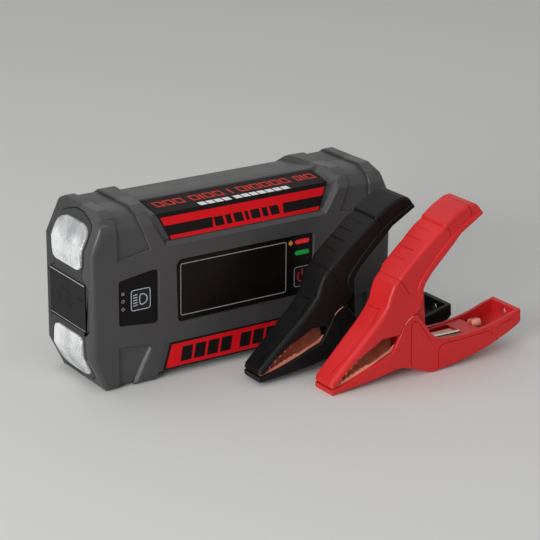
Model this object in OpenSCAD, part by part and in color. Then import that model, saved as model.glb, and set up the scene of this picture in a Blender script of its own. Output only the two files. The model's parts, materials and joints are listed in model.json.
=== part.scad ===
// Jump starter pack with a pair of battery clamps.
// The pack stands on its long narrow side, display to the front (-Y), lamps to
// the left (-X), +Z up. The origin is the middle of the pack's footprint.

/* [Pack case] */
// Length of the pack, end face to end face
pack_l = 226; // [216:1:250]
// Depth of the pack, front face to back face
pack_d = 60; // [58:1:72]
// Height of the pack
pack_h = 112; // [108:1:130]
// Wall of the two case halves
wall_t = 3.8; // [3.6:0.1:4.4]
// Height of the slanted part at each corner of the ends
end_slant_h = 21; // [18:0.5:24]
// Length that the slanted part takes off the top and the bottom
end_slant_l = 10; // [8:0.5:12]
// Depth of the grooves beside the corner blocks
groove_d = 1.8; // [1:0.1:2]
// Width of the solid block at each end, up to its groove
block_l = 18.8; // [17:0.1:21]
// Width of the upper grooves at the top edge
groove_w = 15.6; // [12:0.1:18]
// Rise of the middle of the case above the ground
mid_rise = 4.6; // [3:0.1:6]
// Rounding of the long outer edges of the case
edge_r = 3.5; // [2:0.1:3.8]
// Rise of the bands and rims of the top over the line of the display side
band_rise = 1.9; // [1.4:0.1:2.2]
// Drop of the middle of the top below its bands, at the seam
mid_drop = 1.4; // [1:0.1:1.8]
// Clearance round pieces that drop into an opening
fit_gap = 0.15; // [0.1:0.05:0.25]

/* [Display side] */
// Length of the display window
window_l = 102.6; // [98:0.2:104]
// Height of the display window
window_h = 41.6; // [38:0.2:44]
// Distance of the window's middle from the pack's middle
window_x = -0.8; // [-2:0.1:2]
// Height of the window's middle above the pack's middle
window_up = 0.8; // [0:0.1:2]
// Thickness of the window and of the lamp switch panel
window_t = 1.2; // [1:0.1:1.3]
// Depth of the front of the window below the front face
lip_d = 1.6; // [1.2:0.1:1.7]
// Width of the ledge that carries the window
ledge_w = 1; // [0.8:0.1:1.2]
// Length of the display module
lcd_l = 81; // [76:0.5:82]
// Height of the display module
lcd_h = 36; // [32:0.5:38]
// Width of the lamp switch panel
panel_w = 28.4; // [26:0.2:30]
// Height of the lamp switch panel along its taller side
panel_h = 36.4; // [35:0.2:38]
// Distance of the panel's middle from the left end of the pack
panel_in = 33; // [31:0.2:35]
// Width of the lamp button
lamp_button_w = 14.4; // [12:0.2:15]
// Width of the power button
power_button_w = 13; // [11:0.2:13]
// Height of both buttons
button_h = 14.2; // [12:0.2:15]
// Travel of both buttons
button_travel = 0.6; // [0.4:0.1:0.8]
// Clearance round each button
button_gap = 0.3; // [0.2:0.05:0.4]
// Length of the status lights
status_l = 11; // [9:0.2:12]
// Width of the status lights
status_w = 3; // [2.6:0.1:3.6]

/* [Labels] */
// Thickness of the upper label
label_t = 0.5; // [0.4:0.05:0.6]
// Length of the upper label along its lower edge
label_l = 112; // [106:1:118]
// Height of the lower label
plate_h = 17; // [14:0.2:18]
// Thickness of the lower label
plate_t = 0.8; // [0.6:0.05:1]

/* [Lamp end] */
// Thickness of the end inserts
insert_t = 5.3; // [5:0.1:6]
// Height of each lamp lens, as a part of the pack's height
lens_part = 0.25; // [0.23:0.005:0.26]
// Distance of each lens's outer edge from the top or the feet
lens_edge = 6.6; // [6:0.1:7]
// Width of each lamp lens
lens_w = 38.8; // [36:0.2:39.6]
// Bulge of the lens beyond the end face
lens_bulge = 1.4; // [0.8:0.1:2]
// Depth of the lamp reflectors
reflector_d = 13; // [11:0.2:14]
// Width of the port cover
cover_w = 45.2; // [42:0.2:46]
// Height of the port cover, as a part of the pack's height
cover_part = 0.275; // [0.25:0.005:0.277]
// Thickness of the port cover
cover_t = 3.4; // [3.2:0.1:3.6]
// Distance of the port cover's middle below the pack's middle
cover_down = 1.8; // [0:0.1:2]
// Part of the cover's thickness that stands proud of the end
cover_proud = 0.6; // [0.4:0.1:0.8]

/* [Battery] */
// Number of pouch cells
cell_n = 4; // [3:1:4]
// Thickness of one cell
cell_t = 9; // [8:0.1:9.4]
// Length of a cell
cell_l = 126; // [120:1:140]
// Height of a cell
cell_h = 88; // [84:1:96]

/* [Clamps] */
// Width of a clamp at the tips of its jaws
clamp_w_tip = 18.4; // [17:0.2:20]
// Width of a clamp at the ends of its handles
clamp_w_end = 28.5; // [27:0.2:31]
// Wall of the clamp's plastic arms
arm_t = 2.6; // [2.4:0.1:2.8]
// Height of the pivot above the ground
pivot_z = 28; // [27.8:0.1:28.4]
// Radius of the round shoulder between the two arms
shoulder_r = 14.4; // [14:0.1:14.6]
// Radius of the pivot pin
pin_r = 2.5; // [2.2:0.1:2.8]
// Running clearance on the pivot pin
pin_fit = 0.05; // [0.02:0.01:0.08]
// Clearance between the moving arms
arm_gap = 0.4; // [0.3:0.05:0.5]
// Thickness of the copper jaws
jaw_t = 1.2; // [1:0.1:1.4]
// Pitch of the jaw teeth
tooth_p = 3.6; // [3:0.1:4]
// Depth of the jaw teeth
tooth_d = 1.5; // [1:0.1:1.8]
// Wire diameter of the clamp spring
wire_d = 2; // [1.6:0.1:2.2]
// Mean radius of the clamp spring
coil_r = 7; // [6.6:0.1:7.2]
// Turns of the clamp spring
coil_n = 3; // [2:1:3]
// Distance of the red clamp's pivot from the middle of the pack
red_x = 75.7; // [60:0.1:90]
// Distance of the red clamp's middle plane from the pack's front
red_out = 70; // [66:0.1:80]
// Distance of the black clamp's pivot from the middle of the pack
black_x = 46.1; // [30:0.1:60]
// Distance of the black clamp's middle plane from the pack's front
black_out = 34.2; // [30:0.1:36]
// Angle by which the black clamp leans back on its heel
black_tilt = 1.8; // [0:0.1:3]

/* [Hidden] */
$fn = 48;

hl = pack_l/2;
hd = pack_d/2;
lens_h = lens_part*pack_h;
cover_h = cover_part*pack_h;
window_z = pack_h/2 + window_up;
cover_z = pack_h/2 - cover_down;

// ---- plane geometry helpers ----
function nrm(a, b) = let (d = b - a, l = norm(d)) [-d[1]/l, d[0]/l];
// Closed outline, counterclockwise, moved inwards by t
function inset(p, t) = let (n = len(p)) [for (i = [0:n-1])
    let (a = nrm(p[(i+n-1)%n], p[i]), b = nrm(p[i], p[(i+1)%n]))
        p[i] + t*(a + b)/(1 + a*b)];
// Open line moved to its left by t
function shifted(p, t) = let (n = len(p)) [for (i = [0:n-1])
    let (a = nrm(p[max(i-1, 0)], p[max(i, 1)]),
         b = nrm(p[min(i, n-2)], p[min(i+1, n-1)]))
        p[i] + t*(a + b)/(1 + a*b)];
// Corner b between a and c, rounded by r in k steps
function arc_corner(b, a, c, r, k = 4) = let (u = (a - b)/norm(a - b),
    v = (c - b)/norm(c - b), h = acos(u*v)/2, o = b + (u + v)/norm(u + v)*r/sin(h),
    s = b + u*r/tan(h) - o, e = b + v*r/tan(h) - o, a0 = atan2(s[1], s[0]),
    d0 = atan2(e[1], e[0]) - a0, d = d0 > 180 ? d0 - 360 : d0 < -180 ? d0 + 360 : d0)
    [for (j = [0:k]) o + r*[cos(a0 + d*j/k), sin(a0 + d*j/k)]];
// Outline with every corner rounded by r, k steps to a corner
function rounded(p, r, k = 4) = let (n = len(p)) [for (i = [0:n-1])
    each arc_corner(p[i], p[(i+n-1)%n], p[(i+1)%n], r, k)];
function flip(p) = [for (i = [len(p)-1:-1:0]) [-p[i][0], p[i][1]]];
function arc(c, r, a0, a1, k) = [for (i = [0:k])
    c + r*[cos(a0 + (a1-a0)*i/k), sin(a0 + (a1-a0)*i/k)]];
// Outline in X and Z, from y0 to y1
module along_y(p, y0, y1)
    translate([0, y1, 0]) rotate([90, 0, 0])
        linear_extrude(y1 - y0) polygon(p);
// Outline in Y and Z, from x0 to x1
module along_x(p, x0, x1)
    translate([x0, 0, 0]) rotate([90, 0, 90])
        linear_extrude(x1 - x0) polygon(p);
module rod_x(y, z, r, x0, x1)
    translate([x0, y, z]) rotate([0, 90, 0]) cylinder(r = r, h = x1 - x0);
module rod_y(x, z, r, y0, y1)
    translate([x, y1, z]) rotate([90, 0, 0]) cylinder(r = r, h = y1 - y0);
module rod_yc(x, z, r, h) rod_y(x, z, r, -h, h);
module box(a, b) translate(a) cube(b - a);
module both_x() { children(); mirror([1, 0, 0]) children(); }
module both_y() { children(); mirror([0, 1, 0]) children(); }
// Solid spanned by a list of points
module span(p) hull() polyhedron(p, [for (i = [1:len(p)-2]) [0, i, i+1]]);

// ---- outlines of the case ----
// Front view: an oblong with slanted corners
top_z = pack_h + band_rise;
slant_top = end_slant_l*(end_slant_h + band_rise)/end_slant_h;
front_view = [[hl - end_slant_l, 0], [hl, end_slant_h],
    [hl, pack_h - end_slant_h], [hl - slant_top, top_z],
    [-hl + slant_top, top_z], [-hl, pack_h - end_slant_h],
    [-hl, end_slant_h], [-hl + end_slant_l, 0]];
// Side view of each half, from the feet to the seam
front_side = [[hd - 2.5, 0], [hd, 2.5], [hd, pack_h - 8],
    [hd - 5.2, pack_h - 1.3], [hd - 13, top_z], [0, top_z]];
rear_side = [[hd - 2.5, 0], [hd, 2.5], [hd, top_z - 6], [hd - 5.2, top_z], [0, top_z]];
function closed(h) = concat(h, flip([for (i = [0:len(h)-2]) h[i]]));
// Side view with its upper corners rounded, the first by r
function softened(h, r) = let (n = len(h)) closed(concat([h[0], h[1]],
    [for (i = [2:n-2]) each arc_corner(h[i], h[i-1], h[i+1], r, 3)], [h[n-1]]));
// Recessed upper label, seen from the side
label_low_z = pack_h - 21.5;
label_line = [[-hd + 2.6, label_low_z], [-hd + 5.6, pack_h - 4.6],
    [-5.9, pack_h - 1.1]];
// Middle of the top, which falls away to the front and to the back
mid_line = [[-hd - 1, top_z - mid_drop - 4.8], [-hd + 5.2, top_z - mid_drop - 2.4],
    [1, top_z - mid_drop + 0.1]];
cav_z0 = mid_rise + 3;
cav_z1 = pack_h - 5.1;
cav_half = [[hd - wall_t, cav_z0], [hd - wall_t, label_low_z - 5.5],
    [hd - wall_t - 1, label_low_z], [hd - 7.8, pack_h - 6.4],
    [hd - 9.4, cav_z1]];
cav_view = concat(cav_half, flip(cav_half));
// Front view of the grooves beside the end blocks, left side
gx0 = -hl + block_l;
gx1 = gx0 + groove_w;
upper_groove = [[gx0, pack_h - 28], [gx1 + 7.1, pack_h - 24],
    [gx1, pack_h - 5.7], [gx1, top_z + 1], [gx0, top_z + 1]];
lower_groove = [[gx0, -1], [gx1 - 5, -1], [gx1 - 1.8, mid_rise + 0.4],
    [gx1 + 7.4, end_slant_h + 1.5], [gx1 + 6.4, end_slant_h + 3.8],
    [gx0, end_slant_h + 6]];
label_poly = let (a = label_l/2) [[a, label_low_z + 0.3],
    [a + 7.8, pack_h - 4.6], [a + 8.3, pack_h + 1],
    [-a - 8.3, pack_h + 1], [-a - 7.8, pack_h - 4.6],
    [-a, label_low_z + 0.3]];
plate_z0 = mid_rise + 0.9;
plate_poly = let (a = label_l/2 + 1, z1 = plate_z0 + plate_h)
    [[a + 5.3, plate_z0], [a, z1], [-a, z1], [-a - 5.3, plate_z0]];
plate_rec = 1.7;
window_poly = let (a = window_l/2, b = window_h/2) rounded([
    [window_x + a, window_z - b], [window_x + a, window_z + b],
    [window_x - a, window_z + b], [window_x - a, window_z - b]], 3.2);
panel_x = -hl + panel_in;
panel_poly = let (a = panel_w/2, b = panel_h/2, z = window_z - 0.4)
    rounded([[panel_x + a, z - b + 0.4], [panel_x + a, z + b - 1.2],
        [panel_x + a - 4, z + b], [panel_x - a, z + b - 3.6],
        [panel_x - a, z - b + 3.6]], 2.2);
lamp_btn_at = [panel_x + 2, window_z - 0.5];
power_btn_at = [window_x + window_l/2 - power_button_w/2 - 1.4, window_z - 8.4];
y_win = -hd + lip_d;
y_ledge = y_win + window_t;
y_in = -hd + wall_t;
board_y = y_in + 4.2;
flange_w = 0.7;

// ---- outline of the end inserts, seen along X ----
port_hw = cover_w/2 + 3.9;
port_hh = cover_h/2 + 1.2;
insert_half = [[12.6, 3.6], [20, 6.8], [21.8, 12], [21.9, 20], [20.6, 28],
    [20, cover_z - port_hh - 1.6], [port_hw - 3.6, cover_z - port_hh + 0.4],
    [port_hw, cover_z - port_hh + 4.4], [port_hw, cover_z + port_hh - 5],
    [port_hw - 4.2, cover_z + port_hh - 0.8], [17.4, cover_z + port_hh + 1.8],
    [17.4, pack_h - 34.4], [20.6, pack_h - 30], [20.8, pack_h - 14],
    [20.2, pack_h - 8.6], [18.2, pack_h - 5.7], [13, pack_h - 3.6],
    [4, pack_h - 1.2]];
insert_poly = concat(insert_half, flip(insert_half));
lens_in = lens_edge + lens_h/2;
function lens_poly(m) = let (a = lens_w/2, b = lens_h/2,
    h = [[a - 6, -b], [a - 3, -b + 1.1], [a - 1.6, -b + 3.4], [a - 1, -b + 7.5],
        [a - 0.8, -b + 11.5], [a, b - 9.4], [a - 0.1, b - 6.4], [a - 1.3, b - 3.6],
        [a - 4.6, b - 1.2], [a - 9, b]],
    q = concat(h, flip(h)))
    m > 0 ? [for (v = q) [v[0], pack_h - lens_in + v[1]]]
          : [for (i = [len(q)-1:-1:0]) [q[i][0], lens_in - q[i][1]]];
seat_d = 1;
seat_w = 1.6;

// ---- case ----
edge_steps = 4;
module case_block(side) intersection() {
    hull() for (i = [0:edge_steps]) let (a = 90*i/edge_steps)
        along_y(inset(front_view, edge_r*(1 - sin(a))), -hd + edge_r*(1 - cos(a)), 0);
    along_x(softened(side, 8), -hl, hl);
}
module groove_cut(p, side) difference() {
    along_y(p, -hd - 1, 1);
    along_x(inset(closed(side), groove_d), -hl, hl);
}
// Lower middle of the top, between sloping walls
module mid_hollow() difference() {
    span([for (s = [-1, 1], v = [[66, 1, top_z - mid_drop], [60.5, -hd + 5.2,
        top_z - mid_drop - 2.4], [58.5, -hd - 1, top_z - mid_drop - 4.8],
        [69, 1, top_z + 0.3], [66, -hd + 5.2, top_z + 0.3], [65, -hd - 1, top_z + 0.3]])
        [s*v[0], v[1], v[2]]]);
    along_x(concat([[1.1, 0], [1.1, top_z - mid_drop + 0.1]],
        [for (i = [2:-1:0]) mid_line[i]], [[-hd - 1, 0]]), -hl, hl);
}
module half_case(side) difference() {
    union() {
        difference() {
            case_block(side);
            intersection() {
                along_y(inset(front_view, wall_t), -hd, 1);
                along_x(cav_view, -hl, hl);
            }
        }
        for (s = [-1, 1], z = [16, pack_h - 16])
            rod_y(s*(hl - 21), z, 4, y_in - 0.8, 0);
    }
    both_x() { groove_cut(upper_groove, side); groove_cut(lower_groove, side); }
    along_y([[hl - 46.4, mid_rise], [-hl + 46.4, mid_rise],
        [-hl + 43.6, -1], [hl - 43.6, -1]], -hd - 1, 1);
    mid_hollow();
    along_x(insert_poly, -hl - 1, -hl + 15);
    along_x(insert_poly, hl - 15, hl + 1);
}
// Hollow with sloping sides round the upper label
module label_hollow() difference() {
    span(let (a = label_l/2, l = label_line) concat(
        [for (s = [-1, 1], v = [[a, l[0]], [a + 7.8, l[1]], [a + 8.3, l[2]]])
            [s*v[0], v[1][0], v[1][1]]],
        [for (s = [-1, 1], v = [[a + 4.4, -hd - 0.1, label_low_z - 3],
            [a + 15.4, -hd - 0.1, pack_h - 4],
            [a + 16, -hd + 6, top_z + 0.4],
            [a + 13.4, -5.4, top_z + 0.4]]) [s*v[0], v[1], v[2]]]));
    along_x(concat([[0, label_low_z], [0, pack_h - 1.1]],
        [for (i = [2:-1:0]) label_line[i]]), -hl, hl);
}
module plate_hollow() span(let (a = label_l/2 + 1) concat(
    [for (v = plate_poly) [v[0], -hd + plate_rec, v[1] + (v[1] > plate_z0 ? 0.2 : -3)]],
    [for (s = [-1, 1]) [s*(a + 6), -hd - 0.1, plate_z0 + plate_h + 1.4]],
    [for (s = [-1, 1]) [s*(a + 13), -hd - 0.1, plate_z0 - 7]]));

module front_shell() color("dimgray") difference() {
    union() {
        half_case(front_side);
        for (s = [-1, 1], z = [30, pack_h - 32])
            rod_y(s*58, z, 3, y_in - 0.5, board_y);
    }
    label_hollow();
    plate_hollow();
    along_y(window_poly, -hd - 1, y_ledge);
    along_y(inset(window_poly, ledge_w), -hd - 1, y_in + 1);
    along_y(panel_poly, -hd - 1, y_ledge);
    along_y(inset(panel_poly, ledge_w), -hd - 1, y_in + 1);
    for (s = [-1, 1], z = [16, pack_h - 16])
        rod_y(s*(hl - 21), z, screw_r, -18, 1);
}
screw_r = 1.5;
screw_seat = 8;
cell_y1 = hd - wall_t - 4;
module rear_shell() color([0.3, 0.3, 0.31]) difference() {
    union() {
        mirror([0, 1, 0]) half_case(rear_side);
        for (x = [-50, -18, 18, 50])
            box([x - 1, cell_y1, cav_z0 - 1], [x + 1, hd - wall_t + 0.5, cav_z1 - 6]);
    }
    for (s = [-1, 1], z = [16, pack_h - 16]) {
        rod_y(s*(hl - 21), z, screw_r + 0.2, -1, screw_seat + 1);
        rod_y(s*(hl - 21), z, 3.3, screw_seat, hd + 1);
    }
}
module case_screws() color("silver")
    for (s = [-1, 1], z = [16, pack_h - 16]) difference() {
        union() {
            rod_y(s*(hl - 21), z, screw_r, -14, screw_seat + 0.1);
            rod_y(s*(hl - 21), z, 3, screw_seat, screw_seat + 2.2);
        }
        translate([s*(hl - 21), screw_seat + 2.3, z]) rotate([90, 0, 0])
            cylinder(r = 1.4, h = 1.4, $fn = 6);
    }

// ---- end inserts ----
// Skin of the end between two depths below the case's outline
module end_layer(p, d0, d1) intersection() {
    along_x(p, -hl - 3, -hl + 15);
    difference() {
        along_y(inset(front_view, d0), -hd, hd);
        along_y(inset(front_view, d1), -hd - 1, hd + 1);
    }
}
module insert_body() {
    end_layer(inset(insert_poly, fit_gap), 0, insert_t);
    intersection() {
        end_layer(inset(insert_poly, -2), wall_t, insert_t);
        along_x(cav_view, -hl, hl);
    }
}
pocket_d = cover_t - cover_proud + 0.25;
cover_z0 = cover_z - cover_h/2;
hinge_r = cover_t/2;
hinge_x = -hl - cover_proud + hinge_r;
hinge_z = cover_z0 + hinge_r;
cover_pin_r = 0.6;
port_w = 38.4;
port_h = 23.6;
module lamp_bezel() color([0.13, 0.13, 0.14]) difference() {
    insert_body();
    for (m = [-1, 1]) {
        end_layer(lens_poly(m), -1, seat_d);
        along_x(inset(lens_poly(m), seat_w), -hl - 1, -hl + 16);
    }
    box([-hl - 1, -cover_w/2 - 0.3, cover_z0 - 0.5],
        [-hl + pocket_d, cover_w/2 + 0.3, cover_z0 + cover_h + 0.35]);
    box([-hl - 1, -port_w/2 - fit_gap, cover_z - port_h/2 - fit_gap],
        [-hl + insert_t + 1, port_w/2 + fit_gap, cover_z + port_h/2 + fit_gap]);
    rod_yc(hinge_x, hinge_z, cover_pin_r + 0.02, cover_w/2 + 2.2);
}
module end_plate() color([0.13, 0.13, 0.14]) mirror([1, 0, 0]) difference() {
    insert_body();
    difference() {
        box([-hl - 1, -20.5, cover_z - 13], [-hl + 1.6, 20.5, cover_z + 13]);
        for (z = [-8, 0, 8]) box([-hl + 0.2, -17, cover_z + z - 1.4],
            [-hl + 2, 17, cover_z + z + 1.4]);
    }
    for (z = [24, pack_h - 24]) box([-hl - 1, -14, z - 3.5], [-hl + 1.2, 14, z + 3.5]);
}
module lens(m) color("white", 0.6) intersection() {
    along_x(inset(lens_poly(m), fit_gap), -hl - 3, -hl + 15);
    difference() {
        along_y(inset(front_view, -lens_bulge), -hd, hd);
        along_y(inset(front_view, seat_d), -hd - 1, hd + 1);
    }
}
module reflector(m) color("silver") difference() {
    intersection() {
        along_x(inset(lens_poly(m), seat_w + fit_gap), -hl - 1, -hl + reflector_d);
        along_y(inset(front_view, seat_d), -hd, hd);
    }
    translate([-hl + reflector_d + 0.1, 0, m > 0 ? pack_h - lens_in : lens_in]) rotate([0, -90, 0]) {
        cylinder(r1 = 4, r2 = lens_h/2 - 3, h = reflector_d - seat_d - 0.3);
        translate([0, 0, reflector_d - seat_d - 0.4]) cylinder(r = lens_h/2 - 3, h = 6);
    }
}
module upper_lens() lens(1);
module lower_lens() lens(-1);
module upper_reflector() reflector(1);
module lower_reflector() reflector(-1);
module lamp_leds() color("gold") for (z = [lens_in, pack_h - lens_in]) {
    rod_x(0, z, 3.2, -hl + reflector_d - 1.6, -hl + reflector_d + 0.1);
    box([-hl + reflector_d, -9, z - 9], [-hl + reflector_d + 1.6, 9, z + 9]);
}

// ---- ports and their cover ----
module port_cover() color([0.16, 0.16, 0.17]) difference() {
    union() {
        intersection() {
            along_x(rounded([[cover_w/2, hinge_z], [cover_w/2, cover_z0 + cover_h],
                [-cover_w/2, cover_z0 + cover_h], [-cover_w/2, hinge_z]], 0.8),
                -hl - cover_proud, -hl - cover_proud + cover_t);
            box([-hl - 5, -hd, hinge_z], [-hl + 5, hd, pack_h]);
        }
        rod_yc(hinge_x, hinge_z, hinge_r, cover_w/2);
    }
    rod_yc(hinge_x, hinge_z, cover_pin_r + 0.05, cover_w);
    box([-hl - 5, -8, cover_z0 + cover_h - 1.6],
        [-hl - cover_proud + 1, 8, cover_z0 + cover_h + 1]);
}
module port_cover_pin() color("silver")
    rod_yc(hinge_x, hinge_z, cover_pin_r, cover_w/2 + 2);
port_x1 = -hl + 20;
jump_y = -7;
usb_y = 12.4;
function stadium(y, z, w, h) = concat(
    arc([y + w/2 - h/2, z], h/2, -90, 90, 8),
    arc([y - w/2 + h/2, z], h/2, 90, 270, 8));
module port_block() color([0.1, 0.1, 0.11]) difference() {
    union() {
        box([-hl + pocket_d, -port_w/2, cover_z - port_h/2],
            [port_x1, port_w/2, cover_z + port_h/2]);
        box([-hl + insert_t, -port_w/2 - 2, cover_z - port_h/2 - 2],
            [-hl + insert_t + 2, port_w/2 + 2, cover_z + port_h/2 + 2]);
    }
    along_x(stadium(jump_y, cover_z, 23, 12), -hl, -hl + pocket_d + 11);
    for (s = [-1, 1]) rod_x(jump_y + s*5.6, cover_z, 2.9, -hl, port_x1 - 2);
    box([-hl, usb_y - 6.3, cover_z + 2.4], [-hl + pocket_d + 12, usb_y + 6.3, cover_z + 7.6]);
    along_x(stadium(usb_y, cover_z - 5, 9.2, 3.4), -hl, -hl + pocket_d + 8);
}
module jump_contacts() color("goldenrod") for (s = [-1, 1]) difference() {
    rod_x(jump_y + s*5.6, cover_z, 2.9, -hl + pocket_d + 2.5, port_x1 - 2);
    rod_x(jump_y + s*5.6, cover_z, 2.2, -hl, port_x1 - 6);
}
module usb_shells() color("silver") {
    difference() {
        box([-hl + pocket_d + 0.2, usb_y - 6.3, cover_z + 2.4],
            [-hl + pocket_d + 12, usb_y + 6.3, cover_z + 7.6]);
        box([-hl, usb_y - 5.95, cover_z + 2.75],
            [-hl + pocket_d + 11.5, usb_y + 5.95, cover_z + 7.25]);
    }
    difference() {
        along_x(stadium(usb_y, cover_z - 5, 9.2, 3.4), -hl + pocket_d + 0.2, -hl + pocket_d + 8);
        along_x(stadium(usb_y, cover_z - 5, 8.5, 2.7), -hl, -hl + pocket_d + 7.5);
    }
}
module usb_tongues() color([0.9, 0.9, 0.9]) {
    box([-hl + pocket_d + 2, usb_y - 5.5, cover_z + 5.2],
        [-hl + pocket_d + 11.5, usb_y + 5.5, cover_z + 6.8]);
    box([-hl + pocket_d + 1.4, usb_y - 3.3, cover_z - 5.35],
        [-hl + pocket_d + 7.5, usb_y + 3.3, cover_z - 4.65]);
}

// ---- display side ----
function oblong(c, w, h, r) = rounded([[c[0] + w/2, c[1] - h/2],
    [c[0] + w/2, c[1] + h/2], [c[0] - w/2, c[1] + h/2],
    [c[0] - w/2, c[1] - h/2]], r);
status_at = [power_btn_at[0], window_z + window_h/2 - 5.4];
amber_poly = let (c = status_at - [9, 0], r = 1.9)
    [c + [r, 0], c + [0, r], c - [r, 0], c - [0, r]];
module status_bars(g) {
    for (z = [0, -7.5]) along_y(stadium(status_at[0], status_at[1] + z,
        status_l + g, status_w + g), y_win - 0.1, y_ledge);
    along_y(amber_poly, y_win - 0.1, y_ledge);
}
module display_window() color([0.05, 0.05, 0.06]) difference() {
    along_y(inset(window_poly, fit_gap), y_win, y_ledge);
    status_cut();
    along_y(oblong(power_btn_at, power_button_w + 2*button_gap,
        button_h + 2*button_gap, 2.3), y_win - 1, y_ledge + 1);
}
module status_cut() {
    for (z = [0, -7.5]) along_y(stadium(status_at[0], status_at[1] + z,
        status_l, status_w), y_win - 1, y_ledge + 2);
    along_y(amber_poly, y_win - 1, y_ledge + 2);
}
module status_lights() color("red") status_bars(0);
module display_module() color([0.2, 0.22, 0.2])
    box([window_x - window_l/2 + 1.5, y_ledge, window_z - lcd_h/2 - 0.2],
        [window_x - window_l/2 + 1.5 + lcd_l, board_y, window_z + lcd_h/2 - 0.2]);
module lamp_panel() color([0.05, 0.05, 0.06]) difference() {
    along_y(inset(panel_poly, fit_gap), y_win, y_ledge);
    along_y(oblong(lamp_btn_at, lamp_button_w + 2*button_gap,
        button_h + 2*button_gap, 2.3), y_win - 1, y_ledge + 1);
}
module button(c, w) {
    along_y(oblong(c, w, button_h, 2), y_win - 0.3, y_ledge + 0.5);
    along_y(oblong(c, w, button_h + 2*button_gap + 2*flange_w, 2),
        y_ledge + 0.1, y_ledge + 1.1);
}
switch_top = y_ledge + 1.1 + button_travel + 0.05;
module switch(c) {
    box([c[0] - 3, switch_top + 1, c[1] - 3], [c[0] + 3, board_y, c[1] + 3]);
    rod_y(c[0], c[1], 1.7, switch_top, switch_top + 1.1);
}
module lamp_button() color([0.08, 0.1, 0.12]) button(lamp_btn_at, lamp_button_w);
module power_button() color([0.08, 0.1, 0.12]) button(power_btn_at, power_button_w);
module lamp_switch() color("gray") switch(lamp_btn_at);
module power_switch() color("gray") switch(power_btn_at);
module main_board() color("darkgreen") difference() {
    box([-hl + 27, board_y, 14], [hl - 27, board_y + 1.6, pack_h - 28]);
    for (s = [-1, 1], z = [30, pack_h - 32]) rod_y(s*58, z, 1.3, board_y - 1, board_y + 3);
}

// ---- labels ----
module upper_label() color("red") intersection() {
    along_y(label_poly, -hd - 2, 1);
    along_x(concat(label_line, [for (i = [2:-1:0]) shifted(label_line, label_t)[i]]),
        -hl, hl);
}
module lower_label() color("red")
    along_y(plate_poly, -hd + plate_rec - plate_t, -hd + plate_rec);

// ---- battery ----
cell_x0 = -57;
module battery_cells() color("lightsteelblue") for (i = [0:cell_n-1])
    box([cell_x0, cell_y1 - (i + 1)*cell_t, cav_z0],
        [cell_x0 + cell_l, cell_y1 - i*cell_t, cav_z0 + cell_h]);
module cell_bars() color("orange") for (z = [24, cell_h - 24])
    box([cell_x0 - 1, cell_y1 - cell_n*cell_t + 2, cav_z0 + z - 6],
        [cell_x0, cell_y1 - 2, cav_z0 + z + 6]);

// ---- clamps, each about its pivot's foot, jaws to the left ----
pv = [0, pivot_z];
// Outline of the whole upper arm
cuff = 0.9;
upper_top = [[38.5, 108.6], [33, 107.4 + cuff/2], [24.4, 102.7 + cuff], [16.4, 97.3 + cuff],
    [16, 96.6], [8, 90.2], [0, 83.8], [-8, 76.4], [-15.5, 69.2], [-19.6, 64.4],
    [-20.6, 63.9], [-23.4, 57], [-25, 50.6], [-26, 49.6], [-28.4, 46], [-34, 39.3],
    [-42, 31.6], [-53.5, 20.6], [-65.6, 8.8], [-66.2, 5.6]];
shoulder_in = pivot_z + 14.8;
upper_low = concat([[-62.6, 5.7], [-55.4, 12.9], [-44.5, 21.3], [-33.4, 27.1], [-28, 30.4],
    [-16.9, 30.4]],
    arc(pv, shoulder_r + arm_gap, 168, 108, 8),
    [[-2.6, shoulder_in], [0.6, 46], [0.9, 50], [0.9, 57.9], [2.8, 62.2], [6.9, 68],
    [14.1, 75.3], [21.5, 82.7], [28.8, 90.7], [36.3, 95.4], [45.4, 101.2], [41, 107.4]]);
upper_out = concat(upper_top, upper_low);
upper_in = shifted(upper_top, arm_t);
lower_low = [[-64.6, 0], [-43.9, 2.5], [-28.9, 4.9], [-17.6, 7.2], [-11.5, 7.6], [-4, 5.4],
    [5, 1.8], [11, 0], [15, 0], [25.4, 1.9], [33.3, 3.2], [41.2, 4.9], [49.1, 7.1],
    [57.1, 9.5], [62, 11.6], [73.2, 16.2], [79.6, 19.4], [81.2, 21.2]];
lower_high = concat([[80.6, 29.8], [72, 27.9], [64, 25.3], [56, 23.4], [46, 22], [36, 21],
    [24, 21.2], [14, 23], [8.7, 27.4], [4.6, 33.6], [-1, 40.2]],
    arc(pv, shoulder_r, 98, 166, 8),
    [[-16.8, 25.8], [-20.3, 19.7], [-29.3, 15.8], [-36, 12.8], [-44.2, 9.7],
    [-51.5, 7], [-58.9, 4.9], [-65.4, 3.6]]);
lower_out = concat(lower_low, lower_high);
tip_x = -66;
end_x = 64;
// Plan of a clamp, drawn in by t on each side
function clamp_plan(t) = let (a = clamp_w_tip/2 - t, b = clamp_w_end/2 - t)
    [[tip_x - 4, -a], [end_x, -b], [end_x + 30, -b], [end_x + 30, b], [end_x, b],
    [tip_x - 4, a]];
module planned(t) intersection() {
    children();
    translate([0, 0, -5]) linear_extrude(140) polygon(clamp_plan(t));
}
half_w = clamp_w_end/2 + 1;
// Half width of the pivot's cheeks on the inside, at the arms' narrow side
cheek_in = clamp_w_tip/2 + (clamp_w_end - clamp_w_tip)/2*62/134 - arm_t;
pin_half = cheek_in + arm_t - 1.3;
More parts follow.
